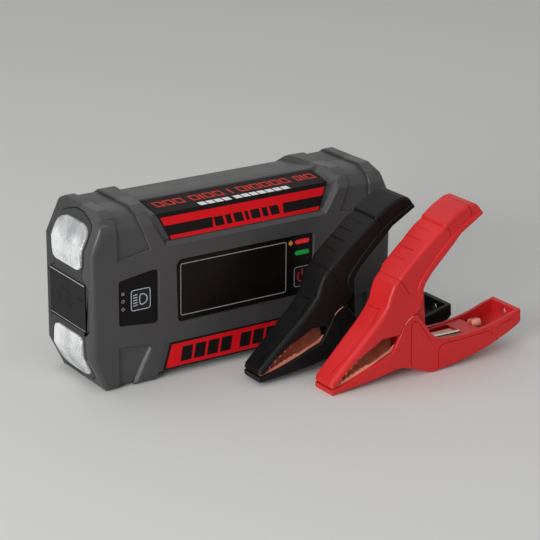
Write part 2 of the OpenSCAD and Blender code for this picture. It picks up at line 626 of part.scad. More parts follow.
// Middle line of the jaw's floor and of the handle's floor, inside the lower arm
arm_floor = [[-63.4, 2.6], [-43.9, 5.1], [-28.9, 7.5], [-17, 9.9], [-11, 10.2],
    [-3, 7.9], [6, 4.4], [12, 4.4], [24, 6], [42, 9], [57, 12.4], [73, 19.2], [77.6, 21.2]];
module lower_arm(c) color(c) {
    difference() {
        planned(0) along_y(lower_out, -half_w, half_w);
        planned(arm_t) along_y(concat(arm_floor, [[78.4, 40], [4, 46], [-40, 46],
            [-63.4, 12]]), -half_w, half_w);
        // straight cheeks at the hinge
        box([-23, -cheek_in, 12], [12, cheek_in, 46]);
        translate([end_x + 6, 0, 24.4]) rotate([0, 90, 0]) cylinder(r = 2.6, h = 20);
        rod_yc(0, pivot_z, pin_r + 0.02, pin_half + 0.1);
    }
    // deck of the handle, with side strips along its window
    planned(arm_t - 0.1) along_y([[38, 19.3], [50, 20], [50, 21.4], [46, 20.9], [38, 20.5]],
        -half_w, half_w);
    difference() {
        planned(arm_t - 0.1) along_y([[14, 19.4], [38, 19.3], [38, 20.5], [26, 20.3],
            [14, 21.8]], -half_w, half_w);
        planned(arm_t + 1.6) box([9, -half_w, 10], [39, half_w, 30]);
    }
}
grip_n = 5;
module upper_arm(c) color(c) difference() {
    union() {
        difference() {
            planned(0) along_y(upper_out, -half_w, half_w);
            planned(arm_t) along_y(concat(
                [[-62.9, 2], [-16, 20], [6, 40], [8, 60], [60, 104], [41.6, 104.6],
                [37.6, 103.8]],
                [for (i = [1:len(upper_top)-3]) upper_in[i]], [[-62.9, 7.78]]),
                -half_w, half_w);
        }
        // ears that ride on the pin, and the rib that takes the spring
        both_y() intersection() {
            along_y(concat([[-28, 46]], arc(pv, 7.6, 200, 340, 8), [[4, 60], [0, 83], [-20, 64]]),
                cheek_in - arm_gap - 2.4, cheek_in - arm_gap);
            along_y(shifted_top(0.6), -half_w, half_w);
        }
        planned(arm_t - 0.1) intersection() {
            along_y([[10, 86], [13.5, 86], [13.5, 100], [10, 96]], -half_w, half_w);
            along_y(shifted_top(0.6), -half_w, half_w);
        }
    }
    rod_yc(0, pivot_z, pin_r + pin_fit, half_w);
    // finger grooves across the handle
    for (i = [0:grip_n-1]) let (t = i/(grip_n - 1), x = -14 + 24.5*t, z = 71.4 + 21.2*t)
        translate([x, 0, z]) rotate([0, -41, 0])
            box([-0.5, -4, -0.6], [0.5, half_w + 1, 3]);
}
function shifted_top(t) = concat([[50, 60], [46, 100]],
    shifted(upper_top, t), [[-60, 0], [0, 10], [20, 20]]);
jaw_w = arm_t + 0.1;
jaw_floor = [for (i = [0:3]) arm_floor[i]];
teeth_n = 6;
strap_w = 10;
lower_edge = concat([[-63.4, 5], [-60, 5.4]],
    [for (i = [0:teeth_n-1], k = [0, 1]) let (x = -58 + i*tooth_p)
        [x + k*tooth_p*0.55, 6 + (x + 58)*0.38 + k*tooth_d]],
    [[-35, 14.2], [-20.6, 20.6], [-17.6, 23.4], [-10, 23.4], [-8, 19]]);
module lower_jaw() color([0.85, 0.5, 0.35]) {
    difference() {
        planned(jaw_w) along_y(concat(jaw_floor, [[-7.6, 10.4]],
            [for (i = [len(lower_edge)-1:-1:0]) lower_edge[i]]), -half_w, half_w);
        planned(jaw_w + jaw_t) along_y(concat([for (v = jaw_floor) v + [-3*(v[0] < -60 ? 1 : 0), jaw_t]],
            [[-7, 10.4 + jaw_t], [-7, 30], [-67, 30]]), -half_w, half_w);
        translate([-52, 0, 0]) cylinder(r = 2.6, h = 12);
    }
    // strap back to the handle, with the barrel that grips the cable
    along_y([[-14, 10.8], [-8, 10.8], [4, 13], [14, 17.9], [51, 17.9], [51, 19.1], [13.6, 19.1],
        [3.6, 14.3], [-8, 12], [-14, 12]], -strap_w/2, strap_w/2);
    difference() {
        rod_x(0, 21.1, 3.2, 50.6, 57);
        rod_x(0, 21.1, 2.1, 50, 58);
        box([50, -1, 21], [58, 1, 26]);
    }
}
upper_edge = concat([[-63.6, 5.5], [-60.4, 7.6]],
    [for (i = [0:teeth_n-1], k = [0, 1]) let (x = -58.6 + i*tooth_p)
        [x + k*tooth_p*0.55, 9.4 + (x + 58.6)*0.82 - k*tooth_d]],
    [[-36, 25.4], [-28, 29.6], [-22, 29.6], [-25.4, 41]]);
module upper_jaw() color([0.85, 0.5, 0.35]) difference() {
    planned(jaw_w) intersection() {
        along_y(concat(upper_edge, [[-40, 60], [-80, 20]]), -half_w, half_w);
        along_y(concat([for (i = [14:17]) upper_in[i]], [[-62.9, 7.78], [-62.9, 4],
            [-20, 4], [-20, 50]]), -half_w, half_w);
    }
    planned(jaw_w + jaw_t) along_y(concat(
        [for (i = [14:18]) shifted(upper_top, arm_t + jaw_t)[i]],
        [[-68, 5], [-68, 2], [-19, 20], [-16, 46]]), -half_w, half_w);
}
module pin() color("silver") rod_yc(0, pivot_z, pin_r, pin_half);
// Spring wire: one tube along leg, coil and leg
wire_sides = 6;
coil_pitch = wire_d + 0.55;
leg_a = 160;
coil_turns = coil_n + (270 - leg_a)/360;
coil_y0 = -coil_turns*coil_pitch/2;
coil_steps = ceil(coil_turns*8);
function coil_pt(t) = let (a = -90 - 360*coil_turns*t)
    [coil_r*cos(a), coil_y0 + coil_turns*coil_pitch*t, pivot_z + coil_r*sin(a)];
leg_l = 58.4;
wire_path = concat(
    [[37.6, coil_y0, pivot_z - coil_r - 0.8], [35, coil_y0, pivot_z - coil_r - 0.8]],
    [for (i = [0:coil_steps]) coil_pt(i/coil_steps)],
    let (e = coil_pt(1), d = [cos(leg_a - 90), 0, sin(leg_a - 90)])
        [e + d*(leg_l - 3), e + d*leg_l]);
function unit(v) = v/norm(v);
function tangent(p, i) = unit(p[min(i + 1, len(p) - 1)] - p[max(i - 1, 0)]);
function ring(p, i) = let (t = tangent(p, i), u = unit(cross(t, [0, 1, 0])), v = cross(t, u))
    [for (k = [0:wire_sides-1]) let (a = 360*k/wire_sides)
        p[i] + wire_d/2*(u*cos(a) + v*sin(a))];
module tube(p) {
    n = len(p);
    s = wire_sides;
    polyhedron([for (i = [0:n-1]) each ring(p, i)],
        concat([[for (k = [s-1:-1:0]) k]],
            [for (i = [0:n-2], k = [0:s-1]) let (a = i*s + k, b = i*s + (k + 1)%s)
                each [[a, b, b + s], [a, b + s, a + s]]],
            [[for (k = [0:s-1]) (n-1)*s + k]]));
}
module spring() color("silver") tube(wire_path);
gaps = [for (i = [0:len(wire_path)-1], j = [0:len(wire_path)-1])
    if (j > i + 6) norm(wire_path[i] - wire_path[j]) - wire_d];
echo(least_gap = min(gaps));

heel_x = 13;
module at_red() translate([red_x, -hd - red_out, 0]) children();
module at_black() translate([black_x + heel_x, -hd - black_out, 0])
    rotate([0, black_tilt, 0]) translate([-heel_x, 0, 0]) children();

front_shell();
rear_shell();
lamp_bezel();
end_plate();
upper_lens();
lower_lens();
upper_reflector();
lower_reflector();
lamp_leds();
port_cover();
port_cover_pin();
port_block();
jump_contacts();
usb_shells();
usb_tongues();
display_window();
display_module();
lamp_panel();
lamp_button();
power_button();
lamp_switch();
power_switch();
status_lights();
upper_label();
lower_label();
battery_cells();
cell_bars();
main_board();
case_screws();
at_red() lower_arm("red");  // red_lower_arm
at_red() upper_arm("red");  // red_upper_arm
at_red() lower_jaw();  // red_lower_jaw
at_red() upper_jaw();  // red_upper_jaw
at_red() pin();  // red_pin
at_red() spring();  // red_spring
at_black() lower_arm([0.15, 0.15, 0.16]);  // black_lower_arm
at_black() upper_arm([0.15, 0.15, 0.16]);  // black_upper_arm
at_black() lower_jaw();  // black_lower_jaw
at_black() upper_jaw();  // black_upper_jaw
at_black() pin();  // black_pin
at_black() spring();  // black_spring
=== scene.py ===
"""Jump starter pack with a pair of battery clamps: finishes, rounded edges and print.

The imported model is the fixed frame. Each sub-assembly below rounds the edges of
its mouldings, adds the trim that is too fine for the frame, and gives every
piece its finish. Lengths are millimetres, unless a comment says otherwise.
"""

import json
import logging
from dataclasses import dataclass
from enum import Enum
from math import atan2, cos, degrees, pi, radians, sin, tan
from typing import Any, Callable, ClassVar, Sequence

import bmesh
import bpy
from mathutils import Matrix, Vector

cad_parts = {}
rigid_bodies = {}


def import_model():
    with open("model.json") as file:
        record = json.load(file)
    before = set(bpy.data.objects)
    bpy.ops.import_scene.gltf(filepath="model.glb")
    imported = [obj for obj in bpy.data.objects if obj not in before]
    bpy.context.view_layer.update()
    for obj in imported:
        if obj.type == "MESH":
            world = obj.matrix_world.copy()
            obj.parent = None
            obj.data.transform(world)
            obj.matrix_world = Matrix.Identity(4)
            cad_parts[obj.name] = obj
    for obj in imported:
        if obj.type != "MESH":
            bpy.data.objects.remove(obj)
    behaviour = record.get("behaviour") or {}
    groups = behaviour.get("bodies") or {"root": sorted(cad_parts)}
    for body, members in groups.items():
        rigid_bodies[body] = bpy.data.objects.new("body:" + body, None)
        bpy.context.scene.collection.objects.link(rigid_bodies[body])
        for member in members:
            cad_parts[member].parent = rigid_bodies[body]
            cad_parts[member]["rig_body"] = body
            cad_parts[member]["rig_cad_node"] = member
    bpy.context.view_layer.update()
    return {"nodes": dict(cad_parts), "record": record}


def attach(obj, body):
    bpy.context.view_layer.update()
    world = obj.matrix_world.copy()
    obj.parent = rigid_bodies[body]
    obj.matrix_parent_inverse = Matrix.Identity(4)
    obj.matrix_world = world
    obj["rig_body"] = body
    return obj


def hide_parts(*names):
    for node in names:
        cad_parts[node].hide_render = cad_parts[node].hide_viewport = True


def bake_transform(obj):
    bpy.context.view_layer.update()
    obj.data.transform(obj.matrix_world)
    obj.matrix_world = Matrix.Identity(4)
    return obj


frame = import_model()

log = logging.getLogger("jump_starter")
SHADER = "Principled BSDF"
MM = 0.001
INK = 0.03          # height of one coat of ink
INK_ROOT = -0.02    # how far print reaches into the surface below it
BODY_OF = {node: body
           for body, nodes in frame["record"]["behaviour"]["bodies"].items()
           for node in nodes}
Point = tuple[float, float]
Place = tuple[float, float, float]
Piece = bpy.types.Object
Edge = bmesh.types.BMEdge
Tree = bpy.types.NodeTree
Node = bpy.types.Node
Output = tuple[Node, str]
Settings = dict[str, Any]
Surface = Callable[[float, float, float], Vector]
Path = list[tuple[Vector, Vector]]      # points in metres, each with the way outwards


# ---- colour, nodes
def linear(code: str) -> tuple[float, float, float, float]:
    """Turn an sRGB hex colour into the linear values that Blender mixes.

    Args:
        code: the colour as six hex digits.

    Returns:
        Red, green, blue and full opacity, linear.
    """
    parts = [int(code[i:i + 2], 16) / 255 for i in (0, 2, 4)]
    r, g, b = (c / 12.92 if c <= 0.04045 else ((c + 0.055) / 1.055) ** 2.4
               for c in parts)
    return r, g, b, 1.0


def add_node(tree: Tree, kind: str, settings: dict | None = None,
             links: dict | None = None) -> Node:
    """Add a node to a material with its settings and its incoming links.

    Args:
        tree: the material's node tree.
        kind: the node's type, without the leading ShaderNode.
        settings: property names or input names (or numbers) with their values.
        links: input names or numbers, each with (node, output name or number).

    Returns:
        The new node.
    """
    node = tree.nodes.new("ShaderNode" + kind)
    for key, value in (settings or {}).items():
        if isinstance(key, str) and key not in node.inputs.keys():
            setattr(node, key, value)
        else:
            node.inputs[key].default_value = value
    for key, (source, output) in (links or {}).items():
        tree.links.new(source.outputs[output], node.inputs[key])
    return node


def feed(source: Node, output: str, *sockets: str) -> None:
    """Link a node's output to sockets of its material's Principled shader."""
    tree = source.id_data
    for socket in sockets:
        tree.links.new(source.outputs[output], tree.nodes[SHADER].inputs[socket])


def per_mm(size: float) -> float:
    """Give the noise scale at which one feature is size millimetres across."""
    return 1.0 / (size * MM)


# ---- finishes
@dataclass(frozen=True)
class Finish:
    """A surface finish that makes its material once.

    The colour goes between base and light in soft patches, the roughness by
    spread each way, and a fine pattern of the given pitch stands up as relief,
    unless relief is 0. Glow is the strength of the light that comes through.
    """
    name: str
    base: str
    light: str
    roughness: float = 0.5
    metallic: float = 0.0
    gloss: float = 0.5
    glow: float = 0.0
    patch: float = 38.0
    octaves: float = 3.0
    spread: float = 0.05
    pitch: float = 0.55
    relief: float = 0.035
    shown: float = 0.55
    stretch: Place | None = None
    turn: Place = (0.0, 0.0, 0.0)
    texture: ClassVar[tuple[str, str]] = ("TexNoise", "Fac")
    detail: ClassVar[Settings] = {"Detail": 2.0}
    sockets: ClassVar[Settings] = {}

    def material(self) -> bpy.types.Material:
        """Make the material, or give the one already made."""
        made = bpy.data.materials.get(self.name)
        if made is not None:
            return made
        made = bpy.data.materials.new(self.name)
        made.use_nodes = True
        made.diffuse_color = linear(self.base)
        shader = made.node_tree.nodes[SHADER]
        values = {"Base Color": linear(self.base), "Roughness": self.roughness,
                  "Metallic": self.metallic, "Specular IOR Level": self.gloss,
                  **self.sockets}
        if self.glow:
            values |= {"Emission Color": linear(self.base),
                       "Emission Strength": self.glow}
        for socket, value in values.items():
            shader.inputs[socket].default_value = value
        self.dress(made.node_tree)
        return made

    def dress(self, tree: Tree) -> None:
        """Add the patches and the relief.

        Args:
            tree: the material's node tree.
        """
        place = (add_node(tree, "TexCoord"), "Object")
        self.mottle(tree, place)
        if not self.relief:
            return
        if self.stretch:
            place = (add_node(tree, "Mapping", {"Scale": self.stretch,
                                                "Rotation": self.turn},
                              {"Vector": place}), "Vector")
        kind, output = self.texture
        pattern = add_node(tree, kind, {"Scale": per_mm(self.pitch), **self.detail},
                           {"Vector": place})
        self.emboss(tree, (pattern, output))

    def mottle(self, tree: Tree, place: Output) -> None:
        """Vary the colour and the roughness over the surface.

        Args:
            tree: the material's node tree.
            place: node and output that give the place.
        """
        noise = add_node(tree, "TexNoise", {
            "Scale": per_mm(self.patch), "Detail": self.octaves, "Roughness": 0.6},
            {"Vector": place})
        feed(self.ramp(tree, (noise, "Fac"), 0.32, 0.68), "Color", "Base Color")
        rough = add_node(tree, "MapRange", {
            "From Min": 0.3, "From Max": 0.7,
            "To Min": max(0.02, self.roughness - self.spread),
            "To Max": min(1.0, self.roughness + self.spread)}, {"Value": (noise, "Fac")})
        feed(rough, "Result", "Roughness")

    def ramp(self, tree: Tree, source: Output, start: float, end: float) -> Node:
        """Turn a pattern into a colour between base and light.

        Args:
            tree: the material's node tree.
            source: node and output of the pattern.
            start: the pattern's value for base.
            end: its value for light.

        Returns:
            The colour ramp.
        """
        made = add_node(tree, "ValToRGB", links={"Fac": source})
        for stop, at, code in zip(made.color_ramp.elements, (start, end),
                                  (self.base, self.light)):
            stop.position, stop.color = at, linear(code)
        return made

    def emboss(self, tree: Tree, source: Output) -> None:
        """Turn a pattern, from a node's output, into the finish's relief."""
        bump = add_node(tree, "Bump", {"Strength": self.shown,
                                       "Distance": self.relief * MM}, {"Height": source})
        feed(bump, "Normal", "Normal")


@dataclass(frozen=True)
class MouldedPlastic(Finish):
    """ABS and polycarbonate blend from a spark-eroded mould.

    The eroded steel leaves a fine even grain, so highlights are broad and soft,
    and handling leaves slightly paler patches. The real grain is about 0.1 mm;
    it is drawn coarser so that it shows.
    """


@dataclass(frozen=True)
class MouldedRubber(MouldedPlastic):
    """Thermoplastic rubber: matt, with a dusty bloom at grazing angles."""
    pitch: float = 0.7
    sockets: ClassVar[Settings] = {"Sheen Weight": 0.04, "Sheen Roughness": 0.5}


@dataclass(frozen=True)
class GlossAcrylic(Finish):
    """Back-printed acrylic window: deep black under a polished clear face.

    The polish gives sharp reflections, and long wiping marks break them a
    little. Real ones are a few hundredths wide; they are drawn coarser.
    """
    patch: float = 26.0
    octaves: float = 4.0
    spread: float = 0.04
    pitch: float = 9.0
    relief: float = 0.004
    shown: float = 0.3
    stretch: Place | None = (1.0, 1.0, 14.0)
    turn: Place = (0.0, 0.5, 0.0)
    detail: ClassVar[Settings] = {"Detail": 5.0}
    sockets: ClassVar[Settings] = {"Coat Weight": 0.06, "Coat Roughness": 0.12}


@dataclass(frozen=True)
class PrintedFilm(Finish):
    """Screen-printed polyester film: even ink under a satin over-varnish.

    The screen leaves a faint mesh in the varnish. It is about 0.1 mm, and is
    drawn at 0.7 mm so that it shows.
    """
    gloss: float = 0.2
    patch: float = 30.0
    spread: float = 0.04
    pitch: float = 0.7
    relief: float = 0.012
    shown: float = 0.35
    texture: ClassVar[tuple[str, str]] = ("TexVoronoi", "Distance")
    detail: ClassVar[Settings] = {}


@dataclass(frozen=True)
class LampLens(Finish):
    """Clear polycarbonate lamp lens with moulded ribs, lit by the lamp behind it.

    Prism ribs and small pillows spread the light, so the half by the ports shows
    as white with fine darker lines. The outer half is plain.
    """
    glow: float = 0.08
    relief: float = 0.3
    shown: float = 0.6
    rib: float = 1.5
    pillow: float = 2.6
    cloud: float = 12.0
    middle: float = 56.0
    ribbed_to: float = 36.0
    plain_from: float = 42.0
    sockets: ClassVar[Settings] = {"Coat Weight": 0.5, "Coat Roughness": 0.08}

    def dress(self, tree: Tree) -> None:
        """Add ribs, pillows and the light that comes through.

        Args:
            tree: the material's node tree.
        """
        place = (add_node(tree, "TexCoord"), "Object")
        # a band wave repeats every pi/10 over its scale
        ribs = add_node(tree, "TexWave", {
            "wave_type": "BANDS", "bands_direction": "Y", "wave_profile": "SIN",
            "Scale": 0.314 * per_mm(self.rib), "Distortion": 1.6, "Detail": 2.0,
            "Detail Scale": 1.5}, {"Vector": place})
        pillows = add_node(tree, "TexVoronoi", {
            "Scale": per_mm(self.pillow), "feature": "DISTANCE_TO_EDGE"},
            {"Vector": place})
        edges = add_node(tree, "MapRange", {"From Max": 0.2, "To Min": 0.45},
                         {"Value": (pillows, "Distance")})
        fine = add_node(tree, "Math", {"operation": "MULTIPLY"},
                        {0: (ribs, "Fac"), 1: (edges, "Result")})
        axes = add_node(tree, "SeparateXYZ", links={"Vector": place})
        offset = add_node(tree, "Math", {"operation": "SUBTRACT", 1: self.middle * MM},
                          {0: (axes, "Z")})
        away = add_node(tree, "Math", {"operation": "ABSOLUTE"}, {0: (offset, "Value")})
        ribbed = add_node(tree, "MapRange", {
            "From Min": self.plain_from * MM, "From Max": self.ribbed_to * MM,
            "To Min": 0.1, "To Max": 0.7}, {"Value": (away, "Value")})
        # the reflector behind shows as clouds about a quarter of the lens wide
        clouds = add_node(tree, "TexNoise", {"Scale": per_mm(self.cloud), "Detail": 2.0},
                          {"Vector": place})
        both = add_node(tree, "Math", {"operation": "MULTIPLY_ADD"},
                        {0: (fine, "Value"), 1: (ribbed, "Result"), 2: (clouds, "Fac")})
        feed(self.ramp(tree, (both, "Value"), 0.4, 0.9), "Color", "Base Color",
             "Emission Color")
        self.emboss(tree, (both, "Value"))


@dataclass(frozen=True)
class Metal(Finish):
    """Bare or plated metal with handling stains and fine drawn lines.

    The lines stretch the highlight across them. Real ones are finer than a
    tenth; they are drawn coarser so that they show.
    """
    metallic: float = 1.0
    patch: float = 9.0
    spread: float = 0.08
    pitch: float = 0.5
    relief: float = 0.01
    shown: float = 0.6
    stretch: Place | None = (0.06, 1.0, 1.0)
    detail: ClassVar[Settings] = {"Detail": 3.0}


@dataclass(frozen=True)
class StatusBar(Finish):
    """Tinted acrylic light pipe, lit from behind: an even, saturated glow."""
    roughness: float = 0.4
    gloss: float = 0.2
    glow: float = 0.2
    patch: float = 3.0
    relief: float = 0.0
    sockets: ClassVar[Settings] = {"Coat Weight": 0.08}


@dataclass(frozen=True)
class CoatedSheet(Finish):
    """Flat stock such as circuit board or pouch foil, with its own fine pattern."""
    roughness: float = 0.4
    patch: float = 7.0
    spread: float = 0.06
    relief: float = 0.03
    shown: float = 0.4
    texture: ClassVar[tuple[str, str]] = ("TexVoronoi", "Distance")
    detail: ClassVar[Settings] = {"distance": "CHEBYCHEV"}


CASE = MouldedPlastic("grey_abs_case", "383738", "3d3c3d", 0.42)
# the rear half is the case plastic made darker: painted shade for its top, which slopes
# away from the light
SHADED_REAR_CASE = MouldedPlastic("grey_abs_rear_case_painted_shade", "2c2c2d", "323233", 0.46, gloss=0.4)
INSERT = MouldedPlastic("charcoal_abs_insert", "2a2a2b", "2f2f30", 0.46, gloss=0.35)
COVER = MouldedRubber("port_cover_rubber", "131314", "171718", 0.6, gloss=0.15)
# pale grey for the strips on the port cover's top lip and hinge line: painted highlights
COVER_EDGE_HIGHLIGHT = MouldedRubber("rubber_edge_painted_highlight", "8b8c8e", "98999b", gloss=0.4)
RED_PLASTIC = MouldedPlastic("red_nylon_clamp", "be1f21", "c92527", 0.42, gloss=0.32,
                             pitch=0.7, relief=0.03)
BLACK_PLASTIC = MouldedPlastic("black_nylon_clamp", "0e0d0e", "131213", 0.46, gloss=0.17,
                               pitch=0.7, relief=0.03)
SOCKET = MouldedPlastic("black_nylon_socket", "161617", "1c1c1d")
SWITCH = MouldedPlastic("grey_tact_switch", "6b6e72", "767a7e")
TONGUE = MouldedPlastic("pale_socket_tongue", "d6d8d6", "e2e2e0", 0.45)
GLOSS = GlossAcrylic("black_acrylic_window", "0e0b0a", "120f0f", 0.26, gloss=0.1)
BUTTON = GlossAcrylic("smoked_acrylic_button", "0f171f", "141d26", 0.2, gloss=0.2)
DISPLAY = GlossAcrylic("display_glass", "171816", "1d1f1c", 0.1)
FILM_BLACK = PrintedFilm("black_printed_film", "120d0c", "17110f", 0.55, gloss=0.12)
FILM_RED = PrintedFilm("red_printed_ink", "ca0d18", "d2101b", gloss=0.15)
INK_WHITE = PrintedFilm("white_printed_ink", "dedcda", "e6e4e2")
INK_BLACK = PrintedFilm("black_printed_ink", "130d0c", "18110f", 0.55, gloss=0.12)
INK_DULL_RED = PrintedFilm("dark_red_printed_ink", "c0201b", "ca2822")
INK_GREY = PrintedFilm("grey_printed_ink", "8d8a88", "969391", 0.45, gloss=0.25)
INK_PALE = PrintedFilm("pale_grey_printed_ink", "a9b2b8", "b3bcc2", 0.45, gloss=0.25)
INK_ROSE = PrintedFilm("rose_light_rim", "d2383e", "dc464c", 0.45)
INK_MINT = PrintedFilm("mint_light_rim", "1f9450", "2aa05c", 0.45)
LENS = LampLens("clear_polycarbonate_lens", "8a8b8d", "dcdddd", 0.3)
MIRROR = Metal("vacuum_metallised_reflector", "c8cacc", "dcdee0", 0.12, pitch=1.5,
               relief=0.004)
LED = CoatedSheet("phosphor_led", "e8c95a", "f0d874", pitch=0.8)
STEEL = Metal("zinc_plated_steel", "a8abae", "bcbfc2", 0.34)
SPRING_STEEL = Metal("bright_spring_steel", "b4b6b8", "cccecf", 0.3, pitch=0.8)
NICKEL = Metal("nickel_plated_shell", "b9b4a8", "cac5ba", 0.25)
CONTACT = Metal("gold_plated_contact", "d9a441", "e8b95a", 0.25)
COPPER = Metal("stamped_copper_jaw", "e2876a", "f0aa90", 0.45, 0.3, pitch=0.9,
               relief=0.02, stretch=(1.0, 0.08, 1.0))
CELL = CoatedSheet("aluminium_pouch_foil", "a9adb2", "b9bdc2", metallic=0.6, pitch=1.6)
BOARD = CoatedSheet("green_circuit_board", "1f5a34", "2a6b40", pitch=1.3)
RED_LIGHT = StatusBar("red_light_pipe", "d01a20", "de2a30", glow=0.25)
GREEN_LIGHT = StatusBar("green_light_pipe", "0c8838", "189846")
AMBER_LIGHT = StatusBar("amber_light_pipe", "a8742a", "b88434", glow=0.15)


# ---- modelling aids
def only(*pieces: Piece) -> None:
    """Leave edit mode, and select some objects alone.

    Args:
        pieces: the objects; the first one is made active.
    """
    if bpy.context.object is not None and bpy.context.object.mode != "OBJECT":
        bpy.ops.object.mode_set(mode="OBJECT")
    bpy.ops.object.select_all(action="DESELECT")
    for piece in pieces:
        piece.select_set(True)
    if pieces:
        bpy.context.view_layer.objects.active = pieces[0]


def edit(piece: Piece) -> None:
    """Open one piece in edit mode with all of it selected."""
    only(piece)
    bpy.ops.object.mode_set(mode="EDIT")
    bpy.ops.mesh.select_all(action="SELECT")


def modify(piece: Piece, kind: str, **settings: Any) -> None:
    """Give a piece one modifier and apply it.

    Args:
        piece: the piece.
        kind: the modifier's type.
        settings: the modifier's properties.
    """
    only(piece)
    added = piece.modifiers.new(kind.lower(), kind)
    for key, value in settings.items():
        setattr(added, key, value)
    bpy.ops.object.modifier_apply(modifier=added.name)


def choose(kind: str, test: Callable[[Any], bool]) -> int:
    """Select vertices, edges or faces of the mesh being edited, and nothing else.

    Args:
        kind: VERT, EDGE or FACE.
        test: says whether one of them is taken.

    Returns:
        How many were taken.
    """
    bpy.ops.mesh.select_mode(type=kind)
    bpy.ops.mesh.select_all(action="DESELECT")
    data = bpy.context.object.data
    mesh = bmesh.from_edit_mesh(data)
    mesh.normal_update()
    items = {"VERT": mesh.verts, "EDGE": mesh.edges, "FACE": mesh.faces}[kind]
    taken = [item for item in items if test(item)]
    for item in taken:
        item.select_set(True)
    mesh.select_flush_mode()
    bmesh.update_edit_mesh(data)
    return len(taken)


def fold(edge: Edge) -> float:
    """Give the angle between an edge's two faces, in degrees, below 0 if hollow."""
    if len(edge.link_faces) != 2:
        return 0.0
    return degrees(edge.calc_face_angle_signed(0.0))


def sharp(edge: Edge, angle: float, shortest: float = 0.0) -> bool:
    """Tell whether an edge folds by more than an angle and is long enough."""
    return fold(edge) > angle and edge.calc_length() > shortest * MM


def halfway(edge: Edge) -> Vector:
    """Give the middle of an edge, in millimetres."""
    return (edge.verts[0].co + edge.verts[1].co) / 2 / MM


def reach(edge: Edge, axis: int) -> Point:
    """Give an edge's least and greatest place along an axis, in millimetres."""
    low, high = sorted(v.co[axis] / MM for v in edge.verts)
    return low, high


@dataclass(frozen=True)
class Rounding:
    """Edges that are rounded together: the width and the steps.

    Where share is given, it gives the part of the width that one edge takes.
    """
    width: float
    steps: int
    takes: Callable[[Edge], bool]
    share: Callable[[Edge], float] | None = None


def moulding(node: str, name: str, roundings: Sequence[Rounding], smooth: float = 34.0,
             before: Callable[[], None] | None = None) -> Piece:
    """Copy a node, merge its faces and round its edges.

    Args:
        node: the node that the copy stands for.
        name: name of the new piece.
        roundings: the roundings, made in this order.
        smooth: angle in degrees up to which faces are shaded as one.
        before: run in edit mode before the edges are rounded, if given.

    Returns:
        The new piece, at the origin and riding on nothing yet.
    """
    only(frame["nodes"][node])
    bpy.ops.object.duplicate(linked=False)
    piece = bpy.context.object
    piece.name = piece.data.name = name
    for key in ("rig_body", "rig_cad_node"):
        if key in piece:
            del piece[key]
    piece.parent = None
    piece.matrix_world = Matrix.Identity(4)
    edit(piece)
    bpy.ops.mesh.remove_doubles(threshold=0.003 * MM)
    bpy.ops.mesh.dissolve_limited(angle_limit=radians(0.35))
    if before is not None:
        before()
    for rounding in roundings:
        if rounding.share is not None:
            taper_round(piece, rounding)
        elif choose("EDGE", rounding.takes):
            bpy.ops.mesh.bevel(offset=rounding.width * MM, segments=rounding.steps,
                               profile=0.5, clamp_overlap=False, affect="EDGES")
    finish_shading(piece, smooth)
    return piece


def taper_round(piece: Piece, rounding: Rounding) -> None:
    """Round edges of a piece in edit mode, each by its own share of the width.

    Args:
        piece: the piece, which stays in edit mode.
        rounding: the rounding, with its share given.
    """
    mesh = bmesh.from_edit_mesh(piece.data)
    mesh.normal_update()
    share = (mesh.edges.layers.float.get("bevel_weight_edge")
             or mesh.edges.layers.float.new("bevel_weight_edge"))
    for edge in mesh.edges:
        edge[share] = rounding.share(edge) if rounding.takes(edge) else 0.0
    bmesh.update_edit_mesh(piece.data)
    modify(piece, "BEVEL", limit_method="WEIGHT", width=rounding.width * MM,
           segments=rounding.steps, use_clamp_overlap=False)
    bpy.ops.object.mode_set(mode="EDIT")


def carved(piece: Piece, cutters: Sequence[Piece]) -> None:
    """Cut fine grooves into a piece.

    Args:
        piece: the piece, which keeps its name and place.
        cutters: closed shapes of the grooves; they are used up.
    """
    tool = joined("groove_cutter", cutters)
    modify(piece, "BOOLEAN", operation="DIFFERENCE", solver="EXACT", use_self=True,
           object=tool)
    only(tool)
    bpy.ops.object.delete()


def finish_shading(piece: Piece, smooth: float = 34.0) -> None:
    """Shade a piece smooth, with flat faces kept flat.

    Args:
        piece: the piece.
        smooth: angle in degrees up to which faces are shaded as one.
    """
    only(piece)
    bpy.ops.object.shade_smooth_by_angle(angle=radians(smooth))
    modify(piece, "WEIGHTED_NORMAL", keep_sharp=True, weight=80)


def dress(piece: Piece, finish: Finish, body: str | None, slot: str,
          *nodes: str) -> None:
    """Give a finished piece its material and body.

    Args:
        piece: the piece, in place.
        finish: its finish.
        body: the body that it moves with, or None to leave it on no body.
        slot: the record's material slot; not used.
        nodes: the nodes that it stands for, if any.
    """
    piece.data.materials.clear()
    piece.data.materials.append(finish.material())
    if nodes:
        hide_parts(*nodes)
    if body is not None:
        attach(piece, body)
    log.info("%s: %d faces, %s", piece.name, len(piece.data.polygons), finish.name)


def renew(node: str, word: str, finish: Finish, slot: str, rounding: Rounding,
          **options: Any) -> None:
    """Put a rounded and finished copy in the place of a node.

    Args:
        node: the node, which also gives the copy's name and body.
        word: end of the copy's name.
        finish: its finish.
        slot: the record's material slot.
        rounding: the edges that are rounded.
        options: smooth and before, as for moulding.
    """
    piece = moulding(node, f"{node}_{word}", [rounding], **options)
    dress(piece, finish, BODY_OF[node], slot, node)


def paint(finishes: dict[str, Finish]) -> None:
    """Give nodes that stay as they are their finishes.

    Args:
        finishes: each node's name with its finish.
    """
    for node, finish in finishes.items():
        target = frame["nodes"][node]
        if not target.material_slots:
            target.data.materials.append(finish.material())
        for slot in target.material_slots:
            slot.material = finish.material()
        log.info("%s: %s", node, finish.name)


